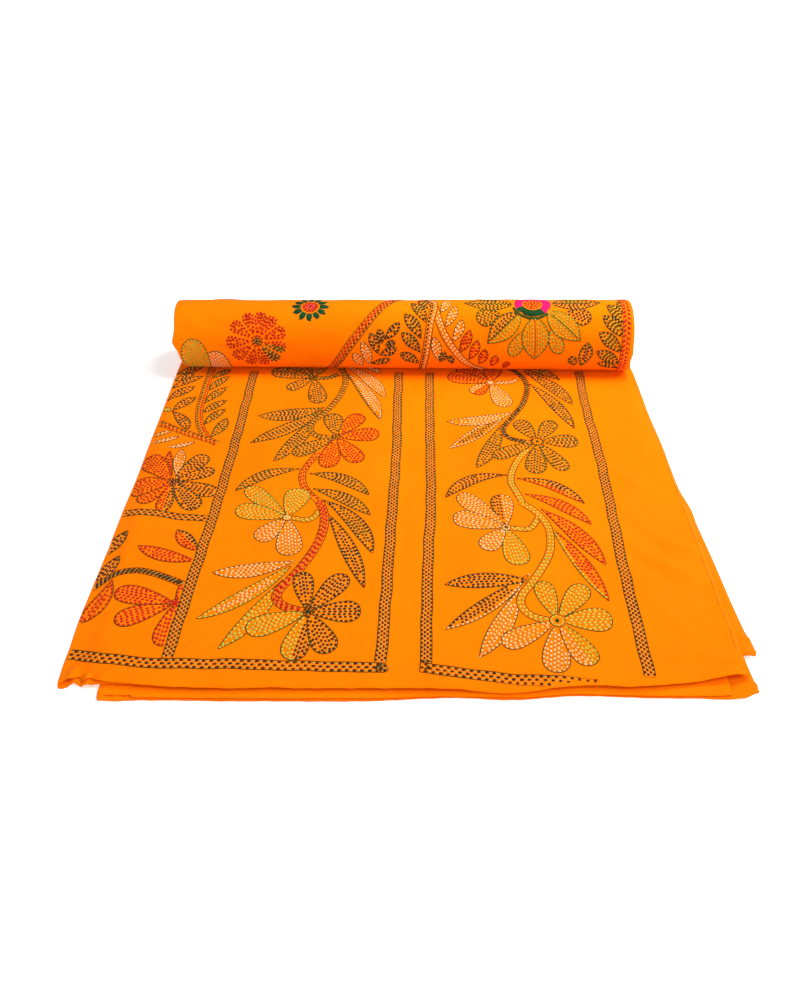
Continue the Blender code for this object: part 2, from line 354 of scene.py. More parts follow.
def risen(x, z):
    """Height on a roll that is flatter at its left-hand end and plumper at its right."""
    height = LEFT_RISE + (RIGHT_RISE - LEFT_RISE) * (0.5 + x / ROLL_LENGTH)
    return z + height * smooth_step((z - RISE_START) / RISE_REACH)


def settled(angle, x, y, z):
    """Points of the roll, whose front has sunk back and down, most of all half-way round."""
    part = np.clip((angle % TAU - SINK_START) / (SINK_END - SINK_START), 0.0, 1.0)
    share = np.sin(math.pi * part) ** 2
    widened, back, down = SINK_MOVE
    return stacked(x + widened * share * x, y + back * share, z + down * share)


def flat_lift(x, run, fold, upper):
    """How far each point of the flat layers is raised by creases and lowered by its hem."""
    top, second, lowest = upper & (fold > 0), upper & (fold < 0), ~upper & (fold > 0)
    droop = np.where(upper, hem_droop("second", x, run), hem_droop("third", x, run))
    droop = np.where(lowest, 0.0, np.where(top, top_droop(x, run), droop))
    relief = flat_relief(x, run) * np.where(fold > 0, 1.0, BENEATH_SHARE)
    lift = np.where(upper, relief - sag(x, run), 0.0) - droop
    lift = lift + np.where(second, creased(SECOND_CREASES, x, run), 0.0)
    return lift + np.where(lowest, creased(LOWEST_CREASES, x, run), 0.0)


def cloth_middle(rows, columns):
    """Middle of the cloth at every crossing of the grid's lines, by row, column and axis."""
    run, angle, turn = (np.array(values)[:, None] for values in zip(*rows))
    inwards, fold = (np.array(values)[None, :] for values in zip(*columns))
    rolled = angle > 0
    radius = ROLL_RADIUS - ROLL_TIGHTENING * angle / TAU
    middle_y = FRONT_Y + np.where(rolled, FLAT_RUN + radius * np.sin(angle), run)
    middle_z = STACK_MIDDLE + np.where(rolled, ROLL_RADIUS - radius * np.cos(angle), 0.0)
    up_y, up_z = -np.sin(angle), np.cos(angle)
    out_y = np.cos(turn) * up_y + np.sin(turn) * up_z
    out_z = np.cos(turn) * up_z - np.sin(turn) * up_y
    x = side_place(run, turn, inwards, fold)
    y = middle_y + np.where(run < FRONT_FADE, front_setback(x, run, turn, fold), 0.0)
    lift = np.where(rolled, 0.0, flat_lift(x, y - FRONT_Y, fold, turn < 0.5))
    outer_turn = (turn > 3) & rolled & (angle < TAU) & (fold > 0)
    offset = LAYER_PITCH + FOLD_RADIUS * np.sin(fold)
    offset = offset + np.where(outer_turn, roll_relief(x, angle), 0.0)
    z = middle_z + offset * out_z + lift
    return settled(angle, x, y + offset * out_y, np.where(rolled, risen(x, z), z))


def spread(stops):
    """Places from (end, step) pairs: equal steps of about that size up to each end."""
    places = [0.0]
    for end, step in stops:
        start = places[-1]
        count = max(1, round((end - start) / step))
        places += [start + (end - start) * k / count for k in range(1, count + 1)]
    return places


def cloth_rows():
    """(run, angle, turn) of every grid line from the top layer's front to the bottom's."""
    stops = ((0.06, 0.003), (0.204, 0.006), (0.219, 0.0025), (0.60, 0.0062), (FLAT_RUN, 0.0078))
    upper = [(run, 0.0) for run in spread(stops)]
    inner = [(roll_run(angle), angle) for angle in spread(((ROLL_ANGLE, TAU / 22),))[1:]]
    rows = [(run, angle, 0.0) for run, angle in upper + inner]
    end_run, end_angle = inner[-1]
    rows += [(end_run, end_angle, math.pi * step / 6) for step in range(1, 6)]
    stops = ((TAU, TAU / 62), (ROLL_ANGLE, TAU / 22))
    outer = [(roll_run(angle), angle) for angle in spread(stops)[1:]]
    lower = [(run, 0.0) for run in spread(((0.03, 0.004), (0.639, 0.045)))]
    return rows + [(run, angle, math.pi) for run, angle in reversed(lower + outer)]


def cloth_columns():
    """(inwards, fold) of every grid line from one hem, round the left fold, to the other."""
    outer = ((0.060, 0.0024), (0.373, 0.0066), (0.389, 0.0030), (0.735, 0.0064))
    outer = spread((*outer, (FOLDED_WIDTH, 0.0040)))
    inner = spread(((0.060, 0.0040), (0.680, 0.0550), (FOLDED_WIDTH, 0.0055)))
    quarter = math.pi / 2
    columns = [(place / FOLDED_WIDTH, quarter) for place in reversed(outer)]
    columns += [(0.0, quarter - math.pi * step / 8) for step in range(1, 8)]
    return columns + [(place / FOLDED_WIDTH, -quarter) for place in inner]


def grid_normals(points):
    """Unit normals of a grid of points, towards the embroidered face."""
    return unit(np.cross(np.gradient(points, axis=0), np.gradient(points, axis=1)))


def cells(grid):
    """The four corners of each cell of a grid, in the order of its face."""
    return np.stack((grid[:-1, :-1], grid[1:, :-1], grid[1:, 1:], grid[:-1, 1:]), axis=2)


def place_object(name, data):
    placed = bpy.data.objects.new(name, data)
    bpy.context.scene.collection.objects.link(placed)
    return placed


def new_object(name, vertices, faces, material):
    mesh = bpy.data.meshes.new(name)
    mesh.from_pydata(np.asarray(vertices).tolist(), [], faces)
    mesh.materials.append(material)
    mesh.shade_smooth()
    return place_object(name, mesh)


def add_bake_map(mesh, corners):
    """A second map of the surface, laid out flat for baking. No material reads it."""
    layer = mesh.uv_layers.new(name="OFBake")
    layer.data.foreach_set("uv", np.asarray(corners, dtype=np.float32).ravel())


def add_values(mesh, name, values):
    """A number or a vector for each vertex, for the materials to read."""
    values = np.asarray(values, dtype=np.float32)
    kind, field = ("FLOAT", "value") if values.ndim == 1 else ("FLOAT_VECTOR", "vector")
    mesh.attributes.new(name, kind, "POINT").data.foreach_set(field, values.ravel())


def border_of(rows, columns):
    """(row, column) round the edge of a grid, once round."""
    border = [(0, column) for column in range(columns - 1)]
    border += [(row, columns - 1) for row in range(rows - 1)]
    border += [(rows - 1, column) for column in range(columns - 1, 0, -1)]
    return border + [(row, 0) for row in range(rows - 1, 0, -1)]


# places on the cloth's bake map: each face's width, the back's start, and two strips between
FACE_WIDTH, BACK_START, RIM_STRIPS = 0.485, 0.515, ((0.488, 0.498), (0.502, 0.512))
RIM_CELL = 0.85


def cloth_bake_corners(along, across, rim_count):
    """Both faces laid flat side by side, with the edge in strips of cells between them."""
    v, u = np.meshgrid(along / along[-1], FACE_WIDTH * across / across[-1], indexing="ij")
    corners = cells(stacked(u, v)).reshape(-1, 4, 2)
    back = corners[:, ::-1] + np.array((BACK_START, 0.0))
    low = np.arange(rim_count) / rim_count
    high = low + RIM_CELL / rim_count
    strips = []
    for left, right in RIM_STRIPS:
        sides = ((left, low), (left, high), (right, high), (right, low))
        strips.append(np.stack([stacked(side, level) for side, level in sides], axis=1))
    return np.concatenate((corners, back, *strips))


def cloth_thickness(along, across):
    """Thicker at the hem, and rounded off towards the edge."""
    from_edge = np.minimum(
        np.minimum(along, along[-1] - along)[:, None],
        np.minimum(across, across[-1] - across)[None, :],
    )
    hem = 1 - smooth_step((from_edge - HEM_WIDTH) / HEM_STEP)
    thickness = CLOTH_THICKNESS + (HEM_THICKNESS - CLOTH_THICKNESS) * hem
    rounded = smooth_step(from_edge / EDGE_ROUNDING)
    return thickness * (EDGE_SHARE + (1 - EDGE_SHARE) * rounded)


def cloth_rim(middle, border):
    """Points just outside the edge, which round it off."""
    rows, columns = np.array(border).T
    last_row, last_column = middle.shape[0] - 2, middle.shape[1] - 2
    edge = middle[rows, columns]
    inside = middle[np.clip(rows, 1, last_row), np.clip(columns, 1, last_column)]
    return edge + unit(edge - inside) * RIM_REACH


def cloth_faces(index, ring):
    """Faces of the embroidered side, the plain side and the edge between them."""
    size = index.size
    quads = cells(index).reshape(-1, 4)
    ring_next = np.roll(ring, -1)
    rim = 2 * size + np.arange(len(ring))
    rim_next = np.roll(rim, -1)
    upper_rim = np.stack((ring, ring_next, rim_next, rim), axis=-1)
    lower_rim = np.stack((rim, rim_next, ring_next + size, ring + size), axis=-1)
    return np.concatenate((quads, quads[:, ::-1] + size, upper_rim, lower_rim))


def cloth_places(along, across, ring):
    """Metres across and along the sheet at each vertex, and 1.0 on its plain side."""
    face = stacked(across[None, :], along[:, None], 0.0).reshape(-1, 3)
    return np.concatenate((face, face + np.array((0.0, 0.0, 1.0)), face[ring]))


# the grid lines, well inside the edge, along which the cloth's own distances are measured
MEASURED_COLUMN, MEASURED_ROW = 40, 60


def make_cloth(material):
    """The whole sheet: an embroidered face, a plain face, and a rounded edge all round."""
    middle = cloth_middle(cloth_rows(), cloth_columns())
    along = lengths_along(middle[:, MEASURED_COLUMN])
    across = lengths_along(middle[MEASURED_ROW])
    shift = grid_normals(middle) * (cloth_thickness(along, across)[..., None] / 2)
    border = border_of(*middle.shape[:2])
    index = np.arange(middle[..., 0].size).reshape(middle.shape[:2])
    ring = np.array([index[place] for place in border])
    face = (middle + shift).reshape(-1, 3)
    back = (middle - shift).reshape(-1, 3)
    vertices = np.concatenate((face, back, cloth_rim(middle, border)))
    cloth = new_object("quilt_cloth", vertices, cloth_faces(index, ring).tolist(), material)
    add_bake_map(cloth.data, cloth_bake_corners(along, across, len(border)))
    add_values(cloth.data, "cloth_place", cloth_places(along, across, ring))
    return cloth, face


# ---------------------------------------------------------------- the two charts
FLAT_END = 0.626
ROLL_START, ROLL_END = -0.160, 0.134
EDGE_ROOM = 0.0016
FRONT_ROOM = 0.0022
SLOPE_STEP = 0.0008


def flat_height(x, run):
    """Height of the top layer's embroidered face."""
    middle = STACK_MIDDLE + OUTER_OFFSET
    lift = flat_relief(x, run) - sag(x, run) - top_droop(x, run)
    from_fold = x - read_row(UPPER_SIDES, "fold", run) - SHIFT_X
    short = np.clip(1 - from_fold / FOLD_RADIUS, 0.0, 1.0)
    round_off = FOLD_RADIUS * (1 - np.sqrt(1 - short**2))
    return middle + lift - round_off + CLOTH_THICKNESS / 2


def on_flat(x, run):
    """Points and normals of the embroidered face at places of the flat chart."""
    step = SLOPE_STEP
    slope_x = (flat_height(x + step, run) - flat_height(x - step, run)) / (2 * step)
    slope_y = (flat_height(x, run + step) - flat_height(x, run - step)) / (2 * step)
    point = stacked(x, FRONT_Y + run, flat_height(x, run))
    return point, unit(stacked(-slope_x, -slope_y, 1.0))


def roll_point(x, around):
    angle = angle_round(around)
    middle = ROLL_RADIUS - ROLL_TIGHTENING * angle / TAU
    radius = middle + OUTER_OFFSET + roll_relief(x, angle) + CLOTH_THICKNESS / 2
    y = FRONT_Y + FLAT_RUN + radius * np.sin(angle)
    z = STACK_MIDDLE + ROLL_RADIUS - radius * np.cos(angle)
    return settled(angle, x, y, risen(x, z))


def on_roll(x, around):
    """Points and normals of the embroidered face at places of the roll's chart."""
    step = SLOPE_STEP
    across = roll_point(x + step, around) - roll_point(x - step, around)
    down = roll_point(x, around + step) - roll_point(x, around - step)
    return roll_point(x, around), unit(np.cross(down, across))


def between_sides(sides, x, run):
    left = read_row(sides, "fold", run) + SHIFT_X + EDGE_ROOM
    right = read_row(sides, "outer_hem", run) + SHIFT_X - EDGE_ROOM
    return (x > left) & (x < right)


def flat_inside(x, run):
    shown = (run > front_edge("top", x) + FRONT_ROOM) & (run < FLAT_END)
    return shown & between_sides(UPPER_SIDES, x, run)


def roll_inside(x, around):
    shown = (around > ROLL_START) & (around < ROLL_END)
    return shown & between_sides(LOWER_SIDES, x, roll_run(angle_round(around)))


Chart = namedtuple("Chart", "place inside")
CHARTS = {"flat": Chart(on_flat, flat_inside), "roll": Chart(on_roll, roll_inside)}


# ---------------------------------------------------------------- drawing with stitches
STITCH_LENGTH = 0.0041
STITCH_GAP = 0.0020
ROW_PITCH = 0.0040
ROW_ROOM = 0.62 * ROW_PITCH
RING_INSET = 0.0017
NARROW_HALF_WIDTH = 0.0023
# shorter gaps show nothing between the stitches
PUCKER_GAP = 0.0010
PUCKER_OVERLAP = 0.0008
THREAD_THICKNESS = {
    "navy": 1.10, "olive": 1.16, "red": 1.10, "crimson": 1.10, "lime": 0.92, "sage": 0.98,
    "blush": 0.92,
}
WANDER = 0.00030
# what shows between the stitches of a thread: a swelling of cloth painted paler as a highlight, a
# plain swelling, or a swelling painted darker orange as shade
BETWEEN = {
    "navy": "pale_pucker", "olive": "pale_pucker", "forest": "pale_pucker", "red": "coral",
    "crimson": "coral", "magenta": "coral", "blush": "hollow", "lime": "shade",
    "sage": "shade", "cotton": "hollow",
}
# stitches of the bands, by their count of rows, and of the other lines
BAND_STITCHES = {
    3: {"length": 0.0048, "gap": 0.0036, "weight": 0.96},
    4: {"length": 0.0037, "gap": 0.0025, "weight": 0.88},
}
VINE_STITCHES = {"length": 0.0042, "gap": 0.0022}
RED_VINE_STITCHES = {"length": 0.0056, "gap": 0.0020, "weight": 0.98}
ROPE_STITCHES = {"length": 0.0062, "gap": -0.0006, "weight": 1.2}
GROUND_STITCHES = {"length": 0.0062, "gap": -0.0012, "weight": 1.25, "slant": 0.15}
BORDER_STITCHES = {"length": 0.0058, "gap": 0.0020, "weight": 1.2}
EYE_STITCHES = {"length": 0.0034, "gap": 0.0010}
HEM_STITCHES = {"length": 0.0030, "gap": 0.0024, "weight": 0.80}
PALE_SPOKES = {"length": 0.0040, "gap": 0.0004, "weight": 0.60, "puckers": False}
VINE_SLANT, RED_LEAN = 0.55, 0.6
# shares of a stem's width: between its drawn lines, and taken up by its rows of stitches
VINE_SIDES, ROPE_SIDES, BORDER_ROWS, VINE_ROWS = 1.0, 0.88, 0.46, 0.82
BAND_SLANT = 0.14
STITCH_WIDTH = 0.0022
EYE_INSET, KNOT_ASIDE, KNOT_REACH = 0.0018, 0.0011, 0.0026
# height and length of the waves of a line drawn by hand
WAVES = ((0.0004, 0.071), (0.0003, 0.043))
# least and greatest length of a stitch, as a share, and how far it leans by chance
SHORTEST, LONGEST, CHANCE_LEAN = 0.86, 1.12, 0.10
BLADE_STEPS = 40
CORD_STEP = 0.003

# half width along a leaf or petal: part ** start * (1 - part ** end) ** power
LEAF_SHAPE = (1.0, 1.6, 0.95)
BUD_SHAPE = (0.75, 2.2, 0.62)
PETAL_SHAPE = (0.62, 4.5, 0.5)
ARCH_SHAPE = (0.85, 4.0, 0.5)
POINTED_PETAL_SHAPE = (0.55, 2.0, 1.10)
RUFFLE_SHAPE = (1.0, 9.0, 0.5)


def at(line, place, where):
    """Points of a line at distances along it."""
    return np.stack([np.interp(where, place, line[:, axis]) for axis in (0, 1)], axis=-1)


class Design:
    """Every stitch and outline, gathered by chart, with the shapes that are already full."""

    def __init__(self):
        self.stitches = []
        self.cords = []
        self.full = {"flat": [], "roll": []}
        self.random = random.Random(41)

    def free(self, chart, points):
        """Which points lie on the cloth and outside the shapes already drawn there."""
        allowed = CHARTS[chart].inside(points[:, 0], points[:, 1])
        for shape in self.full[chart]:
            if allowed.any():
                allowed &= ~within(shape, points)
        return allowed

    def sew(self, chart, line, threads, length=STITCH_LENGTH, gap=STITCH_GAP, weight=1.0,
            phase=None, slant=0.0, closed=False, puckers=True, left=None):
        """Running stitches along a line. threads is a name, or two: left then right.

        A name such as "navy+lime" is navy stitches with lime ones between them. left is 1
        where the line runs on the left half of a leaf and 0 where it runs on the right.
        """
        chance = self.random.random()
        phase = chance if phase is None else phase
        line = np.column_stack((line, np.ones(len(line)) if left is None else left))
        if closed:
            line = np.concatenate((line, line[:1]))
        place = lengths_along(line[:, :2])
        total = place[-1]
        if closed:
            line = np.concatenate((line, line[1:]))
            place = np.r_[place, place[1:] + total]
        if total < 0.6 * length:
            return
        count = max(1, round((total if closed else total + gap) / (length + gap)))
        period = total / count if closed else (length + gap)
        for number in range(count if closed else count + 1):
            start = (number + (phase if closed else phase - 0.5)) * period
            start = start + self.random.uniform(-WANDER, WANDER)
            start = start % total if closed else start
            end = start + length * self.random.uniform(SHORTEST, LONGEST)
            if not closed and (start < -0.2 * length or end > total + 0.2 * length):
                continue
            lean = slant + self.random.uniform(-CHANCE_LEAN, CHANCE_LEAN)
            side = 0 if np.interp((start + end) / 2, place, line[:, 2]) > 0.5 else 1
            thread, _, between = threads[side % len(threads)].partition("+")
            ends = slanted(at(line, place, (start, end)), lean)
            thick = weight * THREAD_THICKNESS.get(thread, 1.0)
            self.stitches.append((chart, thread, ends, thick))
            # the cloth between two stitches swells a little; most threads paint that swelling
            # paler, as a highlight, or darker, as shade
            if puckers and gap > PUCKER_GAP and (closed or end + gap < total):
                gap_ends = (end - PUCKER_OVERLAP, end + gap + PUCKER_OVERLAP)
                swelled = slanted(at(line, place, gap_ends), slant)
                self.stitches.append((chart, between or BETWEEN[thread], swelled, weight))

    def sew_free(self, chart, line, threads, **style):
        """As sew, keeping only the stitches that lie clear of what was drawn before."""
        first = len(self.stitches)
        self.sew(chart, line, threads, **style)
        new = self.stitches[first:]
        if not new:
            return
        ends = np.array([stitch[2] for stitch in new])
        clear = self.free(chart, ends[:, 0]) & self.free(chart, ends[:, 1])
        clear &= self.free(chart, ends.mean(axis=1))
        self.stitches[first:] = [stitch for stitch, kept in zip(new, clear) if kept]

    def draw(self, chart, line, closed=False):
        """An outline, drawn in thin thread where nothing was drawn before."""
        if closed:
            line = np.concatenate((line, line[:1]))
        place = lengths_along(line)
        count = max(2, round(place[-1] / CORD_STEP))
        points = at(line, place, np.linspace(0, place[-1], count + 1))
        start = None
        for number, shown in enumerate(np.r_[self.free(chart, points), False]):
            if shown and start is None:
                start = number
            if not shown and start is not None:
                if number - start > 2:
                    self.cords.append((chart, points[start:number]))
                start = None


def slanted(ends, slant):
    """The ends of a stitch, turned so that it leans across its line."""
    aside = left_of(ends[1] - ends[0]) * slant
    return ends + np.array((-aside, aside)) / 2


def within(shape, points):
    """Which points lie inside a closed outline."""
    low, high = shape.min(axis=0), shape.max(axis=0)
    inside = ((points > low) & (points < high)).all(axis=1)
    if not inside.any():
        return inside
    found = np.zeros(len(points), dtype=bool)
    ahead = np.roll(shape, -1, axis=0)
    x, y = points[inside][:, 0][:, None], points[inside][:, 1][:, None]
    crosses = (shape[:, 1] > y) != (ahead[:, 1] > y)
    rise = ahead[:, 1] - shape[:, 1]
    slope = (ahead[:, 0] - shape[:, 0]) / np.where(rise == 0, 1e-12, rise)
    hits = crosses & (x < shape[:, 0] + slope * (y - shape[:, 1]))
    found[np.flatnonzero(inside)] = hits.sum(axis=1) % 2 == 1
    return found


def split_threads(names):
    """ "navy/lime" is navy on the left of the base-to-tip line and lime on its right."""
    return tuple(names.split("/"))


def blade_lines(base, tip, width, bend, shape):
    """Middle line, its directions to the left, half widths and outline of a leaf or petal."""
    start, end, power = shape
    part = (1 - np.cos(np.linspace(0, math.pi, BLADE_STEPS))) / 2
    along = tip - base
    length = np.linalg.norm(along)
    left = left_of(along) / length
    bow = bend * length * 4
    middle = base + part[:, None] * along
    middle = middle + (bow * part * (1 - part))[:, None] * left
    normal = left_of(unit(along + (bow * (1 - 2 * part))[:, None] * left))
    half = part**start * (1 - part**end) ** power
    half = half * width / 2 / half.max()
    aside = normal * half[:, None]
    return middle, normal, half, np.concatenate((middle + aside, (middle - aside)[-2:0:-1]))


def blade_rings(design, chart, outline, threads, rings, weight):
    """Rounds of stitches inside the outline."""
    on_left = np.r_[np.ones(BLADE_STEPS), np.zeros(BLADE_STEPS - 2)]
    travel = unit(np.roll(outline, -1, axis=0) - np.roll(outline, 1, axis=0))
    for number in range(rings):
        inset = RING_INSET + number * ROW_PITCH
        ring = outline - left_of(travel) * inset
        gaps = np.linalg.norm(ring[:, None] - outline[None], axis=2).min(axis=1)
        kept = gaps > 0.93 * inset
        if kept.sum() > 6:
            own = {"closed": True, "left": on_left[kept], "weight": weight}
            design.sew_free(chart, ring[kept], threads, **own)


def blade_rows(design, chart, middle, normal, half, filled, threads, vein, **style):
    """Rows of stitches along the length, inside the part that the rounds have filled."""
    room = half.max() - filled - ROW_ROOM
    if room <= 0:
        return
    count = int(room / ROW_PITCH * 2) + 1
    for number in range(count):
        aside = (number - (count - 1) / 2) * ROW_PITCH
        inside = half - abs(aside) > filled + ROW_ROOM
        if inside.sum() <= 3 or (vein and abs(aside) < 0.3 * ROW_PITCH):
            continue
        row = middle[inside] + normal[inside] * aside
        thread = threads[0] if aside >= 0 else threads[-1]
        design.sew_free(chart, row, (thread,), phase=0.5 + 0.5 * (number % 2), **style)


def blade(design, chart, base, tip, width, bend, edge, fill, shape, rings=1, vein=False,
          outlined=True, slant=0.0, weight=1.0):
    """A leaf or petal: an outline, rounds of stitches inside it, and rows along its length."""
    middle, normal, half, outline = blade_lines(base, tip, width, bend, shape)
    if outlined:
        design.draw(chart, outline, closed=True)
    blade_rings(design, chart, outline, split_threads(edge), rings, weight)
    narrow = half < NARROW_HALF_WIDTH
    near_base = np.arange(BLADE_STEPS) < BLADE_STEPS / 2
    for end in (narrow & near_base, narrow & ~near_base):
        if end.sum() > 3:
            design.sew_free(chart, middle[end], split_threads(edge)[:1], phase=0.5, puckers=False)
    filled = RING_INSET + (rings - 1) * ROW_PITCH
    own = {"threads": split_threads(fill), "vein": vein, "slant": slant, "weight": weight}
    blade_rows(design, chart, middle, normal, half, filled, **own)
    if vein:
        design.draw(chart, middle[4:-2])
    design.full[chart].append(outline)


def smooth_path(points, steps=10):
    """A smooth curve through the points of a path."""
    padded = np.concatenate((2 * points[:1] - points[1:2], points, 2 * points[-1:] - points[-2:-1]))
    curve = []
    for first, second, third, fourth in zip(padded, padded[1:], padded[2:], padded[3:]):
        speed = third - first
        bow = 2 * first - 5 * second + 4 * third - fourth
        twist = 3 * second - first - 3 * third + fourth
        for part in np.arange(steps) / steps:
            curve.append(0.5 * (2 * second + speed * part + bow * part**2 + twist * part**3))
    return np.array(curve + [points[-1]])


def beside(path, distance):
    return path + left_of(unit(np.gradient(path, axis=0))) * distance


def ribbon_outline(path, width):
    return np.concatenate((beside(path, width / 2), beside(path, -width / 2)[::-1]))


def wavered(path):
    """The path, wandering a little to either side as a line drawn by hand does."""
    place = lengths_along(path)
    start = 90 * path[0, 0]
    aside = np.zeros(len(path))
    for number, (height, length) in enumerate(WAVES):
        aside = aside + height * np.sin(TAU * place / length + (number + 1) * start)
    return beside(path, aside[:, None])


def draw_sides(design, chart, path, width):
    for side in (-0.5, 0.5):
        design.draw(chart, beside(path, side * width))


def band(design, path, width, rows):
    """A border band: a drawn outline with staggered rows of short stitches in it."""
    path = wavered(smooth_path(path))
    design.draw("flat", ribbon_outline(path, width), closed=True)
    for number in range(rows):
        line = beside(path, (number - (rows - 1) / 2) * width / (rows - 0.1))
        own = {"phase": 0.5 * (number % 2), "slant": BAND_SLANT}
        design.sew_free("flat", line, ("navy",), **own, **BAND_STITCHES[rows])
    design.full["flat"].append(ribbon_outline(path, width))


def rope(design, chart, path, width, thread):
    """A stem of close stitches that slant right across it."""
    path = smooth_path(path)
    draw_sides(design, chart, path, ROPE_SIDES * width)
    slant = (width - STITCH_WIDTH) / ROPE_STITCHES["length"]
    for colour, phase in ((thread, 0.5), (BETWEEN[thread], 1.0)):
        design.sew_free(chart, path, (colour,), phase=phase, slant=slant, **ROPE_STITCHES)
    design.full[chart].append(ribbon_outline(path, width))


def ground(design, chart, line):
    """Close coral stitches, which show between the darker ones sewn over them."""
    design.sew_free(chart, line, ("coral",), **GROUND_STITCHES)


def vine(design, chart, path, width, threads):
    """A stem: two drawn lines with slanting stitches that lean towards each other."""
    path = smooth_path(path)
    draw_sides(design, chart, path, VINE_SIDES * width)
    red = threads[0] in ("red", "crimson")
    style = RED_VINE_STITCHES if red else VINE_STITCHES
    rows = max(2, len(threads))
    for number in range(rows):
        line = beside(path, ((number + 0.5) / rows - 0.5) * width * VINE_ROWS)
        lean = VINE_SLANT if number % 2 else -VINE_SLANT
        if red:
            ground(design, chart, line)
            lean *= RED_LEAN
        thread = threads[number % len(threads)]
        design.sew_free(chart, line, (thread,), phase=0.5 * (number % 2), slant=lean, **style)
    design.full[chart].append(ribbon_outline(path, width))


def circle(x, y, radius, count=28):
    angles = np.arange(count) * TAU / count
    return stacked(x + radius * np.cos(angles), y + radius * np.sin(angles))


def sew_rounds(design, chart, x, y, radii, threads, **style):
    """Rounds of stitches about a middle."""
    for radius, thread in zip(radii, threads):
        design.sew_free(chart, circle(x, y, radius), (thread,), closed=True, **style)


def sew_spoke(design, x, y, turn, inner, outer, thread, **style):
    """Stitches outwards from a middle on the roll; without a style, a single long one."""
    way = np.array((math.cos(turn), math.sin(turn)))
    middle = np.array((x, y))
    style = style or {"length": outer - inner, "gap": 0.001, "phase": 0.5}
    design.sew_free("roll", (middle + way * inner, middle + way * outer), (thread,), **style)


def radial_satin(design, x, y, inner, outer, count, threads, span):
    """Close, long stitches from an inner to an outer circle on the roll."""
    for number in range(count):
        turn = span[0] + (span[1] - span[0]) * (number + 0.5) / count
        sew_spoke(design, x, y, turn, inner, outer, threads[number % len(threads)])


def flower_eye(design, x, y, radius, ring, knot):
    """The middle of a flower: a drawn ring, with a round of stitches and a knot in it."""
    design.draw("flat", circle(x, y, radius), closed=True)
    sew_rounds(design, "flat", x, y, (radius - EYE_INSET,), (ring,), **EYE_STITCHES)
    for aside in (-KNOT_ASIDE, KNOT_ASIDE):
        ends = np.array(((x - KNOT_REACH, y + aside), (x + KNOT_REACH, y + aside)))
        design.stitches.append(("flat", knot, ends, 1.0))
    design.full["flat"].append(circle(x, y, radius))


# ---------------------------------------------------------------- the tables of the design
# Millimetres on the flat chart, unless they say roll. Two threads, as in "navy/lime", are the
# left and the right half, seen from the base of the leaf or petal.

# bands: width, rows of stitches, path
BANDS = (
    (12.8, 3, ((-391, 43.5), (-379, 43), (-370, 41.5), (-352, 36), (-342, 32.8), (-332, 32),
     (-311, 31), (-293, 28.5), (-278, 27.8), (-250, 27.8), (-184, 28), (-117, 27.4), (-34, 26.7),
     (-30.5, 26.7))),
    (12.8, 4, ((-25, 612), (-25, 510), (-23.5, 415), (-25.5, 290), (-27, 210), (-28.5, 120),
     (-30.5, 33))),
    (12.8, 4, ((-263, 610), (-262, 530), (-261, 450), (-261.5, 360), (-262, 280), (-264.5, 190),
     (-266.5, 120), (-268.5, 34.5))),
    (12.8, 3, ((12.9, 27.4), (20, 27), (36, 25), (99, 16.6), (136, 14.3), (167, 13), (190, 11),
     (207, 10))),
    (12.8, 4, ((25, 612), (25, 470), (26, 300), (22, 190), (19.6, 43), (19.3, 33.5))),
    (12.8, 4, ((270, 620), (267, 525), (269, 411), (267, 297), (264, 186), (263.6, 20))),
    (11.0, 3, ((-392, 273.5), (-349, 270), (-313, 264), (-264, 259.5))),
)
ROLL_BORDER_WIDTH = 12.5
ROLL_BORDER_PATH = (
    (327.5, -158), (327, -100), (327.5, -40), (329, 1), (328, 50), (328, 78), (330, 104),
    (333, 132),
)

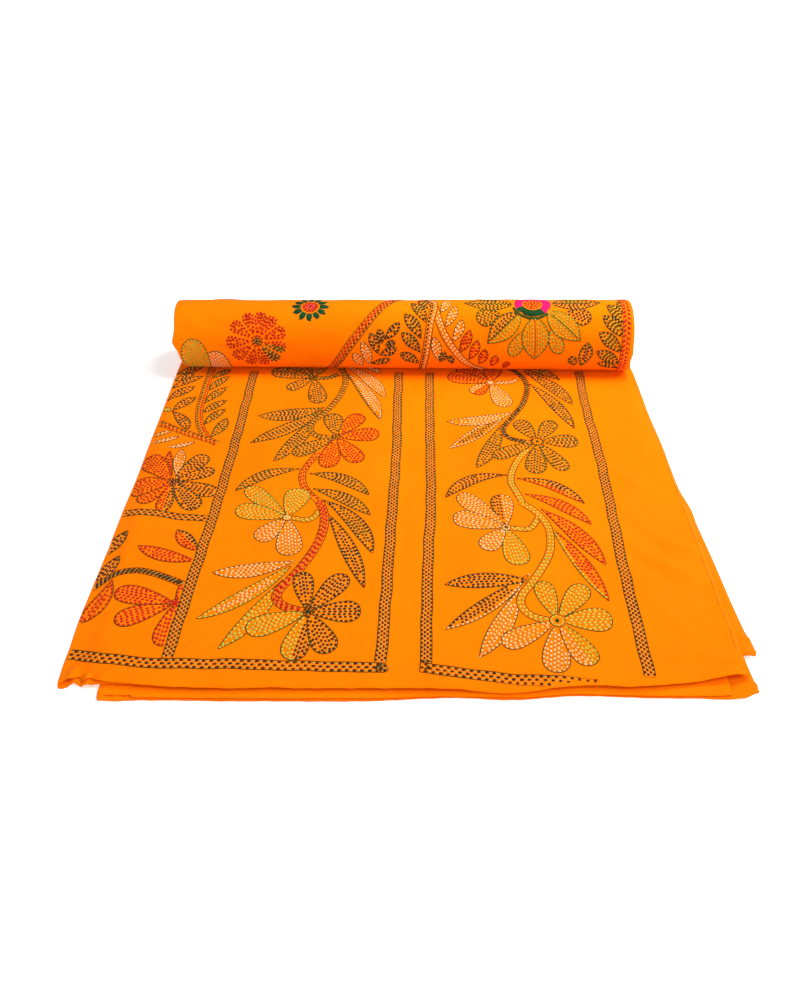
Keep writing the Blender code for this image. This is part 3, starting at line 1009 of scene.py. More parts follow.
# flowers: x, y, radius of the eye, threads of its ring and knot; then for each petal the
# angle in degrees, the length from the flower's middle, the width and the threads
FLOWERS = (
    (-119, 104, 8, "navy", "forest", (
        (103, 65, 24, "navy"), (56, 72, 27, "navy"), (2, 62, 31, "navy"), (-62, 66, 29, "navy"),
        (-100, 70, 30, "navy/lime"), (-157, 74, 29, "lime"))),
    (-164, 264, 8, "blush", "lime", (
        (168, 72, 29, "lime"), (137, 86, 25, "lime"), (79, 59, 34, "lime"),
        (-128, 54, 27, "blush"), (-80, 70, 32, "blush"))),
    (-114, 440, 9, "forest", "olive", (
        (101, 57, 28, "olive"), (58, 65, 28, "red"), (6, 64, 30, "red"), (-57, 71, 28, "red"),
        (-96, 73, 29, "red"), (-143, 74, 26, "olive"))),
    (-163, 595, 8, "olive", "navy", (
        (166, 73, 28, "olive"), (-138, 52, 22, "olive"), (-78, 74, 28, "olive"),
        (137, 60, 24, "olive"), (79, 52, 28, "olive"))),
    (172, 97, 12, "lime", "forest", (
        (102, 62, 24, "lime"), (54, 68, 26, "lime"), (3, 64, 33, "lime"),
        (-62, 70, 29, "lime/blush"), (-98, 74, 30, "blush"), (-151, 75, 26, "blush"))),
    (124, 251, 8, "blush", "olive", (
        (164, 71, 31, "blush"), (133, 88, 27, "blush"), (93, 64, 29, "navy/blush"),
        (-128, 51, 27, "blush"), (-79, 68, 31, "lime"))),
    (183, 433, 13, "forest", "forest", (
        (115, 58, 26, "olive"), (61, 59, 24, "olive"), (3, 60, 29, "olive"),
        (-62, 73, 24, "olive"), (-98, 73, 29, "olive"), (-152, 77, 24, "olive"))),
    (123, 586, 8, "blush", "blush", (
        (164, 71, 31, "red"), (136, 70, 29, "red"), (81, 52, 30, "red"),
        (-134, 43, 26, "red/blush"), (-72, 69, 29, "blush"))),
    (-333, 333, 9, "navy", "navy", (
        (132, 74, 32, "red"), (-167, 58, 36, "red"), (-130, 56, 26, "red"),
        (-90, 61, 21, "navy/red"), (-50, 71, 28, "navy"), (-19, 71, 24, "navy"),
        (26, 60, 21, "navy"), (58, 69, 26, "navy"))),
    (-278, 114, 8, "crimson", "crimson", (
        (167, 78, 27, "crimson"), (-156, 70, 27, "crimson"), (-90, 63, 27, "crimson"),
        (77, 33, 14, "crimson"))),
)

# vines: width, threads, path
VINES = (
    (11.5, ("crimson", "red", "crimson"), ((-127, 300), (-118, 280), (-114, 256), (-116, 229),
     (-123, 204), (-133, 180), (-145, 157), (-157, 138), (-158, 122), (-146, 111), (-125, 104))),
    (9.5, ("olive",), ((-125, 632), (-114, 605), (-111, 580), (-116, 548), (-125, 522),
     (-138, 495), (-150, 478), (-155, 460), (-145, 442), (-121, 437))),
    (9.5, ("red",), ((-136, 402), (-150, 370), (-154, 352), (-150, 330), (-138, 310),
     (-127, 299))),
    (8, ("lime",), ((-159, 264), (-139, 259), (-128, 266), (-123, 280))),
    (8, ("olive",), ((-159, 593), (-138, 595), (-123, 605))),
    (10, ("lime",), ((147, 300), (164, 283), (176, 263), (180, 240), (176, 209), (163, 180),
     (147, 154), (134, 134), (133, 117), (144, 103), (165, 96))),
    (9.5, ("navy",), ((147, 637), (167, 617), (179, 594), (180, 566), (170, 529), (153, 497),
     (139, 474), (134, 457), (144, 440), (172, 431))),
    (9.5, ("lime",), ((166, 414), (153, 394), (142, 369), (137, 343), (143, 320), (149, 301))),
    (8, ("lime",), ((130, 250), (153, 249), (164, 263), (168, 274))),
    (8, ("blush",), ((129, 586), (153, 587), (167, 597))),
    (11, ("red", "navy"), ((-391, 473), (-365, 458), (-340, 445), (-321, 436), (-300, 427),
     (-287, 419))),
    (11, ("olive", "red"), ((-334, 625), (-334, 583), (-333, 545), (-331, 504), (-324, 470),
     (-315, 449), (-304, 432))),
    (10, ("navy",), ((-392, 136), (-376, 152), (-358, 162), (-337, 166), (-317, 162), (-296, 154),
     (-272, 143))),
)
ROLL_VINES = (
    (13, ("red", "red", "navy"), ((-141, 135), (-128, 113), (-107, 78), (-81, 44), (-58, 13),
     (-38, -15), (-24, -40), (-20, -75), (-34, -110), (-60, -135))),
    (11, ("blush", "navy"), ((4, -53), (19, -25), (30, 1), (24, 35), (19, 73), (14, 113),
     (12, 132))),
    (11, ("blush", "blush"), ((30, 1), (37, 30), (47, 55), (62, 78), (82, 104), (96, 118),
     (112, 132))),
)

# leaves: x and y of the base, x and y of the tip, width, bend as a share of the length, and
# the threads of the edge and of the rows inside it, where these differ
LEAVES = (
    # left-hand column, lower half
    (-145, 186, -244, 164, 23, 0.06, "blush"), (-146, 180, -248, 91, 21, 0.05, "lime", "blush"),
    (-153, 157, -214, 47, 21, 0.04, "lime"), (-136, 322, -54, 271, 20, 0.08, "olive"),
    (-119, 299, -48, 200, 23, 0.10, "navy", "olive"), (-112, 274, -55, 142, 21, 0.03, "navy"),
    # left-hand column, upper half
    (-138, 512, -238, 489, 28, 0.07, "olive"), (-140, 505, -239, 422, 25, 0.04, "olive"),
    (-148, 490, -199, 379, 24, 0.04, "olive"), (-159, 364, -242, 314, 19, -0.12, "olive"),
    (-144, 354, -58, 310, 20, 0.12, "olive"), (-113, 630, -46, 541, 22, 0.08, "blush"),
    (-113, 610, -50, 480, 22, 0.06, "blush/olive", "blush"),
    (-83, 629, -56, 609, 12, 0.10, "blush"),
    # right-hand column, lower half
    (149, 158, 42, 150, 24, -0.04, "navy"), (147, 170, 42, 81, 21, 0.03, "blush/navy", "navy"),
    (132, 146, 79, 43, 24, 0.04, "blush"), (154, 316, 236, 258, 19, 0.10, "crimson"),
    (173, 287, 243, 186, 24, 0.06, "crimson"),
    (182, 253, 237, 127, 21, 0.02, "crimson/lime", "crimson"),
    # right-hand column, upper half
    (152, 507, 50, 480, 23, 0.10, "blush"), (144, 503, 53, 414, 21, 0.02, "blush", "olive"),
    (133, 474, 90, 370, 23, 0.04, "olive"), (133, 356, 46, 307, 19, -0.15, "navy"),
    (146, 349, 233, 299, 19, 0.12, "navy/red"), (167, 631, 236, 596, 17, 0.10, "navy", "olive"),
    (179, 619, 247, 526, 24, 0.08, "navy", "olive"),
    (186, 583, 242, 466, 21, 0.05, "navy", "olive"),
    # panel at the left, above its cross band
    (-388, 599, -349, 622, 16, 0.06, "navy"), (-389, 578, -359, 602, 15, 0.06, "navy"),
    (-389, 557, -344, 595, 15, 0.06, "navy"), (-386, 527, -350, 565, 18, 0.06, "navy"),
    (-371, 499, -342, 536, 18, 0.06, "navy"), (-372, 498, -337, 452, 18, 0.06, "navy"),
    (-391, 508, -374, 497, 10, 0.06, "lime"), (-327, 589, -302, 615, 14, 0.06, "olive"),
    (-328, 553, -301, 595, 15, 0.06, "olive"), (-326, 519, -299, 565, 16, 0.06, "olive"),
    (-324, 492, -293, 528, 16, 0.06, "olive"), (-316, 464, -290, 505, 16, 0.06, "olive"),
    (-300, 434, -285, 482, 18, -0.06, "olive"), (-359, 449, -389, 440, 9, 0.06, "blush"),
    (-344, 437, -383, 421, 9, 0.06, "blush"), (-318, 424, -356, 409, 9, 0.06, "blush"),
    (-331, 347, -336, 405, 17, 0.00, "blush"), (-336, 348, -352, 401, 10, 0.06, "red"),
    # panel at the left, below its cross band
    (-392, 193, -369, 238, 20, 0.00, "navy"), (-385, 145, -367, 193, 20, 0.00, "navy"),
    (-364, 151, -387, 88, 25, 0.10, "crimson"), (-267, 183, -348, 209, 20, 0.05, "crimson"),
    (-267, 199, -304, 238, 20, 0.03, "crimson/navy"),
)
ROLL_LEAVES = (
    (-47, 61, -24, 34, 13, 0.05, "navy"), (-51, 68, -57, 45, 11, 0.05, "navy"),
    (-58, 85, -70, 51, 14, 0.05, "navy"), (-46, 70, -30, 64, 10, 0.05, "navy"),
    (-56, 87, -28, 74, 13, 0.05, "navy"), (-71, 110, -83, 64, 14, 0.05, "blush"),
    (-84, 114, -97, 84, 13, 0.05, "blush"), (-70, 108, -38, 95, 13, 0.05, "navy", "olive"),
    (17, 35, -6, -6, 16, 0.05, "navy", "olive"), (10, 60, -17, 20, 17, 0.05, "navy", "olive"),
    (9, 83, -21, 51, 16, 0.05, "navy", "olive"), (7, 107, -23, 84, 16, 0.05, "navy", "olive"),
    (26, 13, 4, -16, 14, 0.05, "navy", "olive"), (40, 18, 53, -15, 13, 0.05, "blush"),
    (47, 43, 64, 4, 13, 0.05, "blush"), (59, 65, 74, 30, 13, 0.05, "blush"),
    (36, 97, 29, 57, 14, 0.05, "blush"), (70, 83, 86, 46, 14, 0.05, "red"),
    (86, 97, 98, 61, 13, 0.05, "red"), (103, 108, 110, 76, 13, 0.05, "red"),
    (123, 115, 127, 87, 12, 0.05, "crimson", "red"),
    (143, 124, 147, 101, 11, 0.05, "crimson", "red"),
    (40, 104, 47, 81, 11, 0.05, "navy", "olive"), (60, 108, 54, 88, 10, 0.05, "navy", "olive"),
    (264, 111, 269, 65, 19, 0.03, "olive", "navy"),
    (254, 111, 245, 89, 13, 0.03, "navy", "olive"), (329, 15, 318, -11, 16, 0.05, "olive+moss"),
    (324, 38, 300, -1, 18, 0.05, "navy+moss", "olive+moss"),
    (322, 58, 291, 23, 18, 0.05, "navy+moss", "olive+moss"),
    (322, 83, 285, 50, 18, 0.05, "navy+moss", "olive+moss"),
    (324, 108, 284, 80, 18, 0.05, "navy+moss", "olive+moss"),
    (325, 122, 289, 105, 14, 0.05, "navy+moss", "olive+moss"),
    # the roll's far side, which carries the same kinds of leaf
    (-33, -60, 4, -92, 17, 0.08, "blush"), (-28, -85, 8, -128, 17, 0.08, "blush"),
    (-40, -112, -6, -150, 16, 0.08, "blush"), (-36, -58, -84, -52, 17, 0.08, "navy", "olive"),
    (-30, -84, -82, -84, 17, 0.08, "navy", "olive"),
    (-46, -114, -96, -122, 16, 0.08, "navy", "olive"), (-330, -40, -262, -60, 20, 0.08, "red"),
    (-330, -40, -276, -100, 20, 0.06, "red", "crimson"),
    (-330, -40, -318, -112, 20, 0.04, "olive"), (-330, -40, -364, -98, 18, -0.04, "olive"),
)
# where the roll's left-hand end meets the flat part
ARCH_PETALS = (
    (-353, 190, -349, 61, 43, 0.02, "lime", "sage+moss"),
    (-313, 190, -316, 81, 39, 0.00, "blush"), (-331, 150, -328, 97, 17, 0.00, "lime", "blush"),
)
LEAF_SLANT = 0.28
ROLL_LEAF_FULLNESS, ROLL_LEAF_WEIGHT = 1.1, 1.18

EYE_SHARE = 0.76
PETAL_FULLNESS = 1.05
RED_FLOWER = (-247, 64)
RED_FLOWER_PETALS = (
    (111, 48, 19, "red"), (82, 48, 19, "red"), (54, 47, 20, "red"), (20, 48, 21, "red"),
    (-15, 47, 20, "red/olive"), (-50, 47, 20, "olive/navy"), (-80, 48, 19, "red"),
    (-109, 48, 19, "red"), (-142, 48, 21, "red"), (-177, 48, 21, "red"), (145, 48, 21, "red"),
)
GREEN_FLOWER = (-165, 5)
GREEN_PETAL_COUNT = 12
# metres from the middle: where the petals start and end, and the pale spokes between them, whose
# paler colour is a painted highlight
GREEN_PETAL_START, GREEN_PETAL_TIP, GREEN_SPOKE = 0.0140, 0.0312, (0.0150, 0.0275)
GREEN_PETAL_ROUNDING = 0.22
SUN_FLOWER = (184, -3)
SUN_EYE, SUN_FRINGE, SUN_RADIUS = (0.0150, 0.0300), (0.0285, 0.0345), 0.032
SATIN_STEP = 0.068  # radians
SUN_PETALS = (
    (-87, 99, 42, "sage"), (-42, 99, 38, "sage"), (-135, 100, 37, "sage/olive"),
    (179, 107, 32, "olive+moss"), (2, 108, 32, "olive+moss/navy"), (45, 98, 36, "sage"),
    (87, 98, 36, "sage"), (131, 98, 36, "olive"),
)
SUN_BACK_PETALS = (
    (-109, 98, 22, "sage"), (-63, 98, 22, "sage"), (-159, 94, 31, "olive+moss"),
    (-20, 95, 29, "navy"), (22, 98, 26, "sage"), (65, 98, 24, "olive"), (110, 98, 24, "sage"),
    (155, 97, 26, "olive"),
)
# x and distance of the knots where the bands meet
CORNER_KNOTS = ((-35, 26), (-33, 28.8), (20, 26.4), (22, 28.8))
HEM_SEAM_START, HEM_SEAM_END, HEM_SEAM_INSET = 0.055, 0.600, 0.0056


def sew_leaf(design, chart, leaf, shape=LEAF_SHAPE, slant=LEAF_SLANT, fullness=1.0, **style):
    base_x, base_y, tip_x, tip_y, width, bend, edge, *fill = leaf
    base, tip = np.array(((base_x, base_y), (tip_x, tip_y))) * MM
    width = width * fullness * MM
    fill = fill[0] if fill else edge
    blade(design, chart, base, tip, width, bend, edge, fill, shape, slant=slant, **style)


def sew_petals(design, chart, x, y, start, petals, shape, fullness=1.0, **style):
    """Petals round a middle. Angles turn up from the right as the motif is seen."""
    middle = np.array((x, y)) * MM
    up = 1 if chart == "flat" else -1
    for angle, length, width, threads in petals:
        turn = math.radians(angle)
        way = np.array((math.cos(turn), up * math.sin(turn)))
        if up < 0:
            threads = "/".join(reversed(split_threads(threads)))
        base, tip = middle + way * start * MM, middle + way * length * MM
        width = width * fullness * MM
        blade(design, chart, base, tip, width, 0.0, threads, threads, shape, **style)


def sew_flower(design, x, y, eye, ring, knot, petals):
    flower_eye(design, x * MM, y * MM, eye * EYE_SHARE * MM, ring, knot)
    sew_petals(design, "flat", x, y, eye * 0.5, petals, PETAL_SHAPE, PETAL_FULLNESS)


def sew_red_flower(design):
    """The ruffled flower near the left-hand end of the roll."""
    x, y = (value * MM for value in RED_FLOWER)
    style = {"length": 0.0038, "gap": 0.0012, "weight": 1.1}
    sew_rounds(design, "roll", x, y, (0.0020, 0.0050), ("navy", "navy"), **style)
    design.full["roll"].append(circle(x, y, 0.0050))
    style = {"rings": 2, "outlined": False, "weight": 1.28}
    sew_petals(design, "roll", *RED_FLOWER, 6, RED_FLOWER_PETALS, RUFFLE_SHAPE, **style)


def sew_green_flower(design):
    """The round flower in satin stitch on the roll."""
    x, y = (value * MM for value in GREEN_FLOWER)
    radii, threads = (0.0112, 0.0084, 0.0056, 0.0028), ("red", "red", "magenta", "red")
    sew_rounds(design, "roll", x, y, radii, threads, length=0.0036, gap=0.0012, weight=1.15)
    for number in range(GREEN_PETAL_COUNT):
        turn = TAU * number / GREEN_PETAL_COUNT
        for aside in (-0.15, -0.075, 0.0, 0.075, 0.15):
            tip = GREEN_PETAL_TIP - GREEN_PETAL_ROUNDING * aside**2
            sew_spoke(design, x, y, turn + aside, GREEN_PETAL_START, tip, "forest")
        # between the petals, a pale spoke: a swelling painted paler as a highlight
        between = turn + TAU / 2 / GREEN_PETAL_COUNT
        sew_spoke(design, x, y, between, *GREEN_SPOKE, "pale_pucker", **PALE_SPOKES)
    design.full["roll"].append(circle(x, y, 0.0320))


def sew_sun_flower(design):
    """The large flower that lies over the top of the roll."""
    x, y = (value * MM for value in SUN_FLOWER)
    radii = (0.0030, 0.0062, 0.0094, 0.0126)
    sew_rounds(design, "roll", x, y, radii, 4 * ("red",), length=0.0030, gap=0.0026, weight=1.1)
    quarter = TAU / 4
    for start, end, thread in ((-1, 0.55, "magenta"), (0.55, 1.75, "forest"), (1.75, 3, "magenta")):
        span = (start * quarter, end * quarter)
        count = round((span[1] - span[0]) / SATIN_STEP)
        radial_satin(design, x, y, *SUN_EYE, count, (thread,), span)
    span = (quarter / 2, 1.8 * quarter)
    radial_satin(design, x, y, *SUN_FRINGE, 30, ("forest", "olive"), span)
    design.full["roll"].append(circle(x, y, SUN_RADIUS))
    sew_petals(design, "roll", *SUN_FLOWER, 31, SUN_PETALS, POINTED_PETAL_SHAPE, vein=True)
    sew_petals(design, "roll", *SUN_FLOWER, 56, SUN_BACK_PETALS, BUD_SHAPE)


def sew_roll_border(design):
    """The border along the roll's hem: bold red stitches that cross to and fro."""
    path = smooth_path(np.array(ROLL_BORDER_PATH) * MM)
    width = ROLL_BORDER_WIDTH * MM
    draw_sides(design, "roll", path, width)
    for number, thread in enumerate(("red", "crimson")):
        line = beside(path, (number - 0.5) * BORDER_ROWS * width)
        ground(design, "roll", line)
        own = {"phase": 0.5 * number, "slant": 1.6 * number - 0.8}
        design.sew_free("roll", line, (thread,), **own, **BORDER_STITCHES)
    design.full["roll"].append(ribbon_outline(path, width))


def sew_corner_knots(design):
    """Where the bands meet, the stitches run together into a dark knot."""
    reach = np.array((0.0024, 0.0010))
    for middle in np.array(CORNER_KNOTS) * MM:
        design.stitches.append(("flat", "navy", np.array((middle - reach, middle + reach)), 0.95))


def sew_hem(design):
    """The plain stitching of the top layer's hem at the right."""
    run = np.linspace(HEM_SEAM_START, HEM_SEAM_END, 60)
    x = read_row(UPPER_SIDES, "outer_hem", run) + SHIFT_X - HEM_SEAM_INSET
    design.sew("flat", stacked(x, run), ("cotton",), **HEM_STITCHES)


def sew_vines(design, chart, vines):
    for width, threads, path in vines:
        path = np.array(path) * MM
        if threads == ("navy",):
            rope(design, chart, path, width * MM, "navy")
        else:
            vine(design, chart, path, width * MM, threads)


def embroider():
    """The whole design. What is sewn first lies on top: later work stops at its edge."""
    design = Design()
    for width, rows, path in BANDS:
        band(design, np.array(path) * MM, width * MM, rows)
    sew_corner_knots(design)
    sew_roll_border(design)
    for flower in FLOWERS:
        sew_flower(design, *flower)
    sew_red_flower(design)
    sew_green_flower(design)
    sew_sun_flower(design)
    for leaf in ARCH_PETALS:
        sew_leaf(design, "roll", leaf, ARCH_SHAPE, slant=0.0)
    sew_vines(design, "flat", VINES)
    sew_vines(design, "roll", ROLL_VINES)
    for leaf in LEAVES:
        sew_leaf(design, "flat", leaf)
    for leaf in ROLL_LEAVES:
        sew_leaf(design, "roll", leaf, fullness=ROLL_LEAF_FULLNESS, weight=ROLL_LEAF_WEIGHT)
    sew_hem(design)
    return design


# ---------------------------------------------------------------- stitches and cords as meshes
STITCH_HALF_WIDTH = 0.00160
STITCH_HALF_HEIGHT = 0.00080
RING_SIDES = 6
# part of the length, size of the ring, height of its middle above the cloth
STITCH_STATIONS = ((0.0, 0.0, -0.00028), (0.13, 0.74, 0.00000), (0.5, 1.0, 0.00012),
                   (0.87, 0.74, 0.00000), (1.0, 0.0, -0.00028))
PUCKER_STATIONS = ((0.0, 0.0, -0.00030), (0.5, 0.98, -0.00016), (1.0, 0.0, -0.00030))
# what lies between stitches: low swellings, painted paler as a highlight, plain, or painted darker
# orange as shade
SWELLINGS = ("pale_pucker", "coral", "moss", "shade", "hollow")
CORD_RADIUS = 0.00074
CORD_SINK = 0.00012
# the thinnest stitch or cord, and how much thicker chance makes others, as shares
STITCH_THICKNESS, CORD_THICKNESS = (0.90, 0.22), (0.85, 0.30)
PUCKER_REACH = 0.012


def on_cloth(charts, places):
    """Points and normals for places of mixed charts: N x stations x 2."""
    points = np.zeros(places.shape[:-1] + (3,))
    normals = np.zeros_like(points)
    for name, chart in CHARTS.items():
        own = charts == name
        if own.any():
            points[own], normals[own] = chart.place(places[own][..., 0], places[own][..., 1])
    return points, normals


def cell_corners(count):
    """Lower left corners and size of equal cells of the unit square, one for each thing."""
    side = math.ceil(math.sqrt(count))
    number = np.arange(count)
    return stacked(number % side, number // side) / side, 1 / side


def stitch_piece(name, stitches, material, seed, stations):
    """One mesh of all the stitches of a thread: a grain shape that sinks in at both ends."""
    charts, ends, weights = (np.array([row[field] for row in stitches]) for field in (0, 2, 3))
    count = len(stitches)
    chance = np.random.default_rng(seed).random((count, 3))
    part, size, height = (np.array(values) for values in zip(*stations))
    places = ends[:, None, 0] + part[None, :, None] * (ends[:, 1] - ends[:, 0])[:, None]
    points, normals = on_cloth(charts, places)
    way = unit(points[:, -1] - points[:, 0])
    side = unit(np.cross(normals[:, len(part) // 2], way))[:, None, None, :]
    thick = weights * (STITCH_THICKNESS[0] + STITCH_THICKNESS[1] * chance[:, 1])
    middle = points + normals * (height[None, :] * weights[:, None])[..., None]
    turn = (-math.pi / 2 + np.arange(RING_SIDES) * TAU / RING_SIDES)[None, None, :, None]
    sized = (thick[:, None] * size[None, 1:-1])[..., None, None]
    rings = middle[:, 1:-1, None, :] + sized * STITCH_HALF_WIDTH * np.cos(turn) * side
    rings = rings + sized * STITCH_HALF_HEIGHT * np.sin(turn) * normals[:, 1:-1, None, :]
    blocks = (middle[:, :1], rings.reshape(count, -1, 3), middle[:, -1:])
    vertices = np.concatenate(blocks, axis=1)
    faces, corners = stitch_faces(part)
    starts = range(0, count * vertices.shape[1], vertices.shape[1])
    all_faces = [[vertex + start for vertex in face] for start in starts for face in faces]
    piece = new_object(name, vertices.reshape(-1, 3), all_faces, material)
    cell, cell_size = cell_corners(count)
    add_bake_map(piece.data, cell[:, None] + cell_size * (0.06 + 0.88 * np.array(corners)))
    length = np.linalg.norm(ends[:, 1] - ends[:, 0], axis=1)
    add_values(piece.data, "thread_place", stitch_places(part, length, chance))
    return piece


def stitch_places(part, length, chance):
    """For each vertex of each stitch: metres along it, share of a turn round it, a chance."""
    rings = len(part) - 2
    values = np.zeros((len(length), rings * RING_SIDES + 2, 3))
    along = length[:, None] * part[None, :] + 0.01 * chance[:, 2:]
    values[:, 0, 0], values[:, -1, 0] = along[:, 0], along[:, -1]
    values[:, 0, 1] = values[:, -1, 1] = 0.5
    values[:, 1:-1, 0] = np.repeat(along[:, 1:-1], RING_SIDES, axis=1)
    values[:, 1:-1, 1] = np.tile(np.arange(RING_SIDES) / RING_SIDES, rings)
    values[:, :, 2] = chance[:, :1]
    return values


def stitch_faces(part):
    """Faces of one stitch, and the place in its cell of each face's corners."""
    faces, corners = [], []
    rings = len(part) - 2
    last = rings * RING_SIDES + 1
    for side in range(RING_SIDES):
        after = (side + 1) % RING_SIDES
        left, right = side / RING_SIDES, (side + 1) / RING_SIDES
        tip = (left + right) / 2
        faces.append((0, 1 + after, 1 + side))
        corners += [(tip, part[0]), (right, part[1]), (left, part[1])]
        for ring in range(rings - 1):
            low, high = 1 + ring * RING_SIDES, 1 + (ring + 1) * RING_SIDES
            base, top = part[ring + 1], part[ring + 2]
            faces.append((low + side, low + after, high + after, high + side))
            corners += [(left, base), (right, base), (right, top), (left, top)]
        faces.append((last - RING_SIDES + side, last - RING_SIDES + after, last))
        corners += [(left, part[-2]), (right, part[-2]), (tip, part[-1])]
    return faces, corners


def cord_cell(x, y, size):
    """Corners on the bake map of the three faces of one short length of cord."""
    wide, tall = size / 3, size
    corners = []
    for face in range(3):
        left, right = x + face * wide, x + (face + 0.9) * wide
        corners += [(left, y), (right, y), (right, y + tall), (left, y + tall)]
    return corners


def cord_piece(name, cords, material, seed):
    """One mesh of all the drawn lines: a three-sided cord, half sunk in the cloth."""
    vertices, faces, corners, places = [], [], [], []
    cell, cell_size = cell_corners(sum(len(points) - 1 for _, points in cords))
    cell = iter(cell + cell_size * 0.1)
    chance = np.random.default_rng(seed)
    for chart, points in cords:
        point, normal = CHARTS[chart].place(points[:, 0], points[:, 1])
        side = unit(np.cross(normal, unit(np.gradient(point, axis=0))))
        thick = CORD_THICKNESS[0] + CORD_THICKNESS[1] * chance.random((len(points), 1))
        radius = CORD_RADIUS * thick
        left = point + side * radius - normal * CORD_SINK
        right = point - side * radius - normal * CORD_SINK
        start = len(vertices)
        ring = np.stack((left, point + normal * radius, right), axis=1)
        vertices += ring.reshape(-1, 3).tolist()
        shade = chance.random()
        along = lengths_along(point)
        places += [(far, around, shade) for far in along for around in (0.0, 0.33, 0.67)]
        for low in range(start, len(vertices) - 3, 3):
            for one, other in ((0, 1), (1, 2), (2, 0)):
                faces.append((low + one, low + other, low + 3 + other, low + 3 + one))
            corners += cord_cell(*next(cell), cell_size * 0.8)
    piece = new_object(name, vertices, faces, material)
    add_bake_map(piece.data, corners)
    add_values(piece.data, "thread_place", places)
    return piece


def mark_stitched(cloth, face_points, embroidery_points):
    """Marks the cloth near the stitches, where the running stitch gathers it a little."""
    tree = KDTree(len(embroidery_points))
    for number, point in enumerate(embroidery_points):
        tree.insert(point, number)
    tree.balance()
    near = np.zeros(len(cloth.data.vertices))
    for number, point in enumerate(face_points):
        near[number] = 1.0 - min(1.0, tree.find(point)[2] / PUCKER_REACH)
    add_values(cloth.data, "stitched", near)


# ---------------------------------------------------------------- materials
def set_inputs(node, values):
    for name, value in values.items():
        node.inputs[name].default_value = value


class Nodes:
    """A material under construction."""

    def __init__(self, name):
        self.material = bpy.data.materials.new(name)
        self.material.use_nodes = True
        self.nodes = self.material.node_tree.nodes
        self.shader = self.nodes["Principled BSDF"]

    def add(self, kind, **settings):
        made = self.nodes.new("ShaderNode" + kind)
        for key, value in settings.items():
            setattr(made, key, value)
        return made

    def feed(self, socket, value):
        """Links a socket to another, or sets it to a number or a colour."""
        if isinstance(value, (int, float)):
            socket.default_value = value
        elif isinstance(value, tuple):
            socket.default_value = (*value, 1.0)
        else:
            self.material.node_tree.links.new(value, socket)

    def attribute(self, name, output):
        return self.add("Attribute", attribute_name=name).outputs[output]

    def parts(self, vector):
        """The X, Y and Z of a vector."""
        parts = self.add("SeparateXYZ")
        self.feed(parts.inputs[0], vector)
        return parts.outputs

    def math(self, operation, *values):
        made = self.add("Math", operation=operation)
        for socket, value in zip(made.inputs, values):
            self.feed(socket, value)
        return made.outputs[0]

    def noise(self, vector, scale, detail=2.0, rough=0.5):
        made = self.add("TexNoise")
        set_inputs(made, {"Scale": scale, "Detail": detail, "Roughness": rough})
        self.feed(made.inputs["Vector"], vector)
        return made.outputs["Fac"]

    def stretched(self, vector, *scale):
        made = self.add("Mapping")
        set_inputs(made, {"Scale": scale})
        self.feed(made.inputs["Vector"], vector)
        return made.outputs["Vector"]

    def ramp(self, factor, *stops):
        made = self.add("ValToRGB")
        elements = made.color_ramp.elements
        while len(elements) < len(stops):
            elements.new(0.5)
        for element, (place, color) in zip(elements, stops):
            element.position = place
            element.color = (*color, 1.0)
        self.feed(made.inputs["Fac"], factor)
        return made.outputs["Color"]

    def mix(self, factor, first, second, mode="MIX"):
        made = self.add("Mix", data_type="RGBA", blend_type=mode)
        # the mixing sockets of a colour: the factor, then the two colours
        for number, value in ((0, factor), (6, first), (7, second)):
            self.feed(made.inputs[number], value)
        return made.outputs[2]

    def bump(self, height, strength, distance, normal=None):
        made = self.add("Bump")
        set_inputs(made, {"Strength": strength, "Distance": distance})
        self.feed(made.inputs["Height"], height)
        if normal is not None:
            self.feed(made.inputs["Normal"], normal)
        return made.outputs["Normal"]

    def finish(self, color, normal, values):
        """The finished material, with its constants on the shader's own sockets."""
        self.feed(self.shader.inputs["Base Color"], color)
        if normal is not None:
            self.feed(self.shader.inputs["Normal"], normal)
        set_inputs(self.shader, values)
        return self.material


CLOTH_LIGHT = (0.995, 0.203, 0.0008)
CLOTH_DEEP = (0.980, 0.178, 0.0006)
CLOTH_UNDER = (0.960, 0.182, 0.0008)
WHITE = (1.0, 1.0, 1.0)
CLOTH_GLOSS = {
    "Roughness": 0.86, "Sheen Weight": 0.10, "Sheen Roughness": 0.5,
    "Sheen Tint": (1.0, 0.40, 0.01, 1.0), "Specular IOR Level": 0.15,
    "Specular Tint": (1.0, 0.40, 0.01, 1.0),
}
THREAD_GLOSS = {
    "Roughness": 0.55, "Specular IOR Level": 0.12, "Specular Tint": (1.0, 0.60, 0.30, 1.0),
}
STRAND_LENGTH = 0.0011


def weave_of(made, place):
    """Height of a plain weave: waves across, times waves along."""
    waves = [made.add("TexWave", wave_type="BANDS", bands_direction=way) for way in "XY"]
    for wave in waves:
        set_inputs(wave, {"Scale": 350.0, "Distortion": 0.6, "Detail": 1.0})
        made.feed(wave.inputs["Vector"], place)
    return made.math("MULTIPLY", *(wave.outputs["Fac"] for wave in waves))


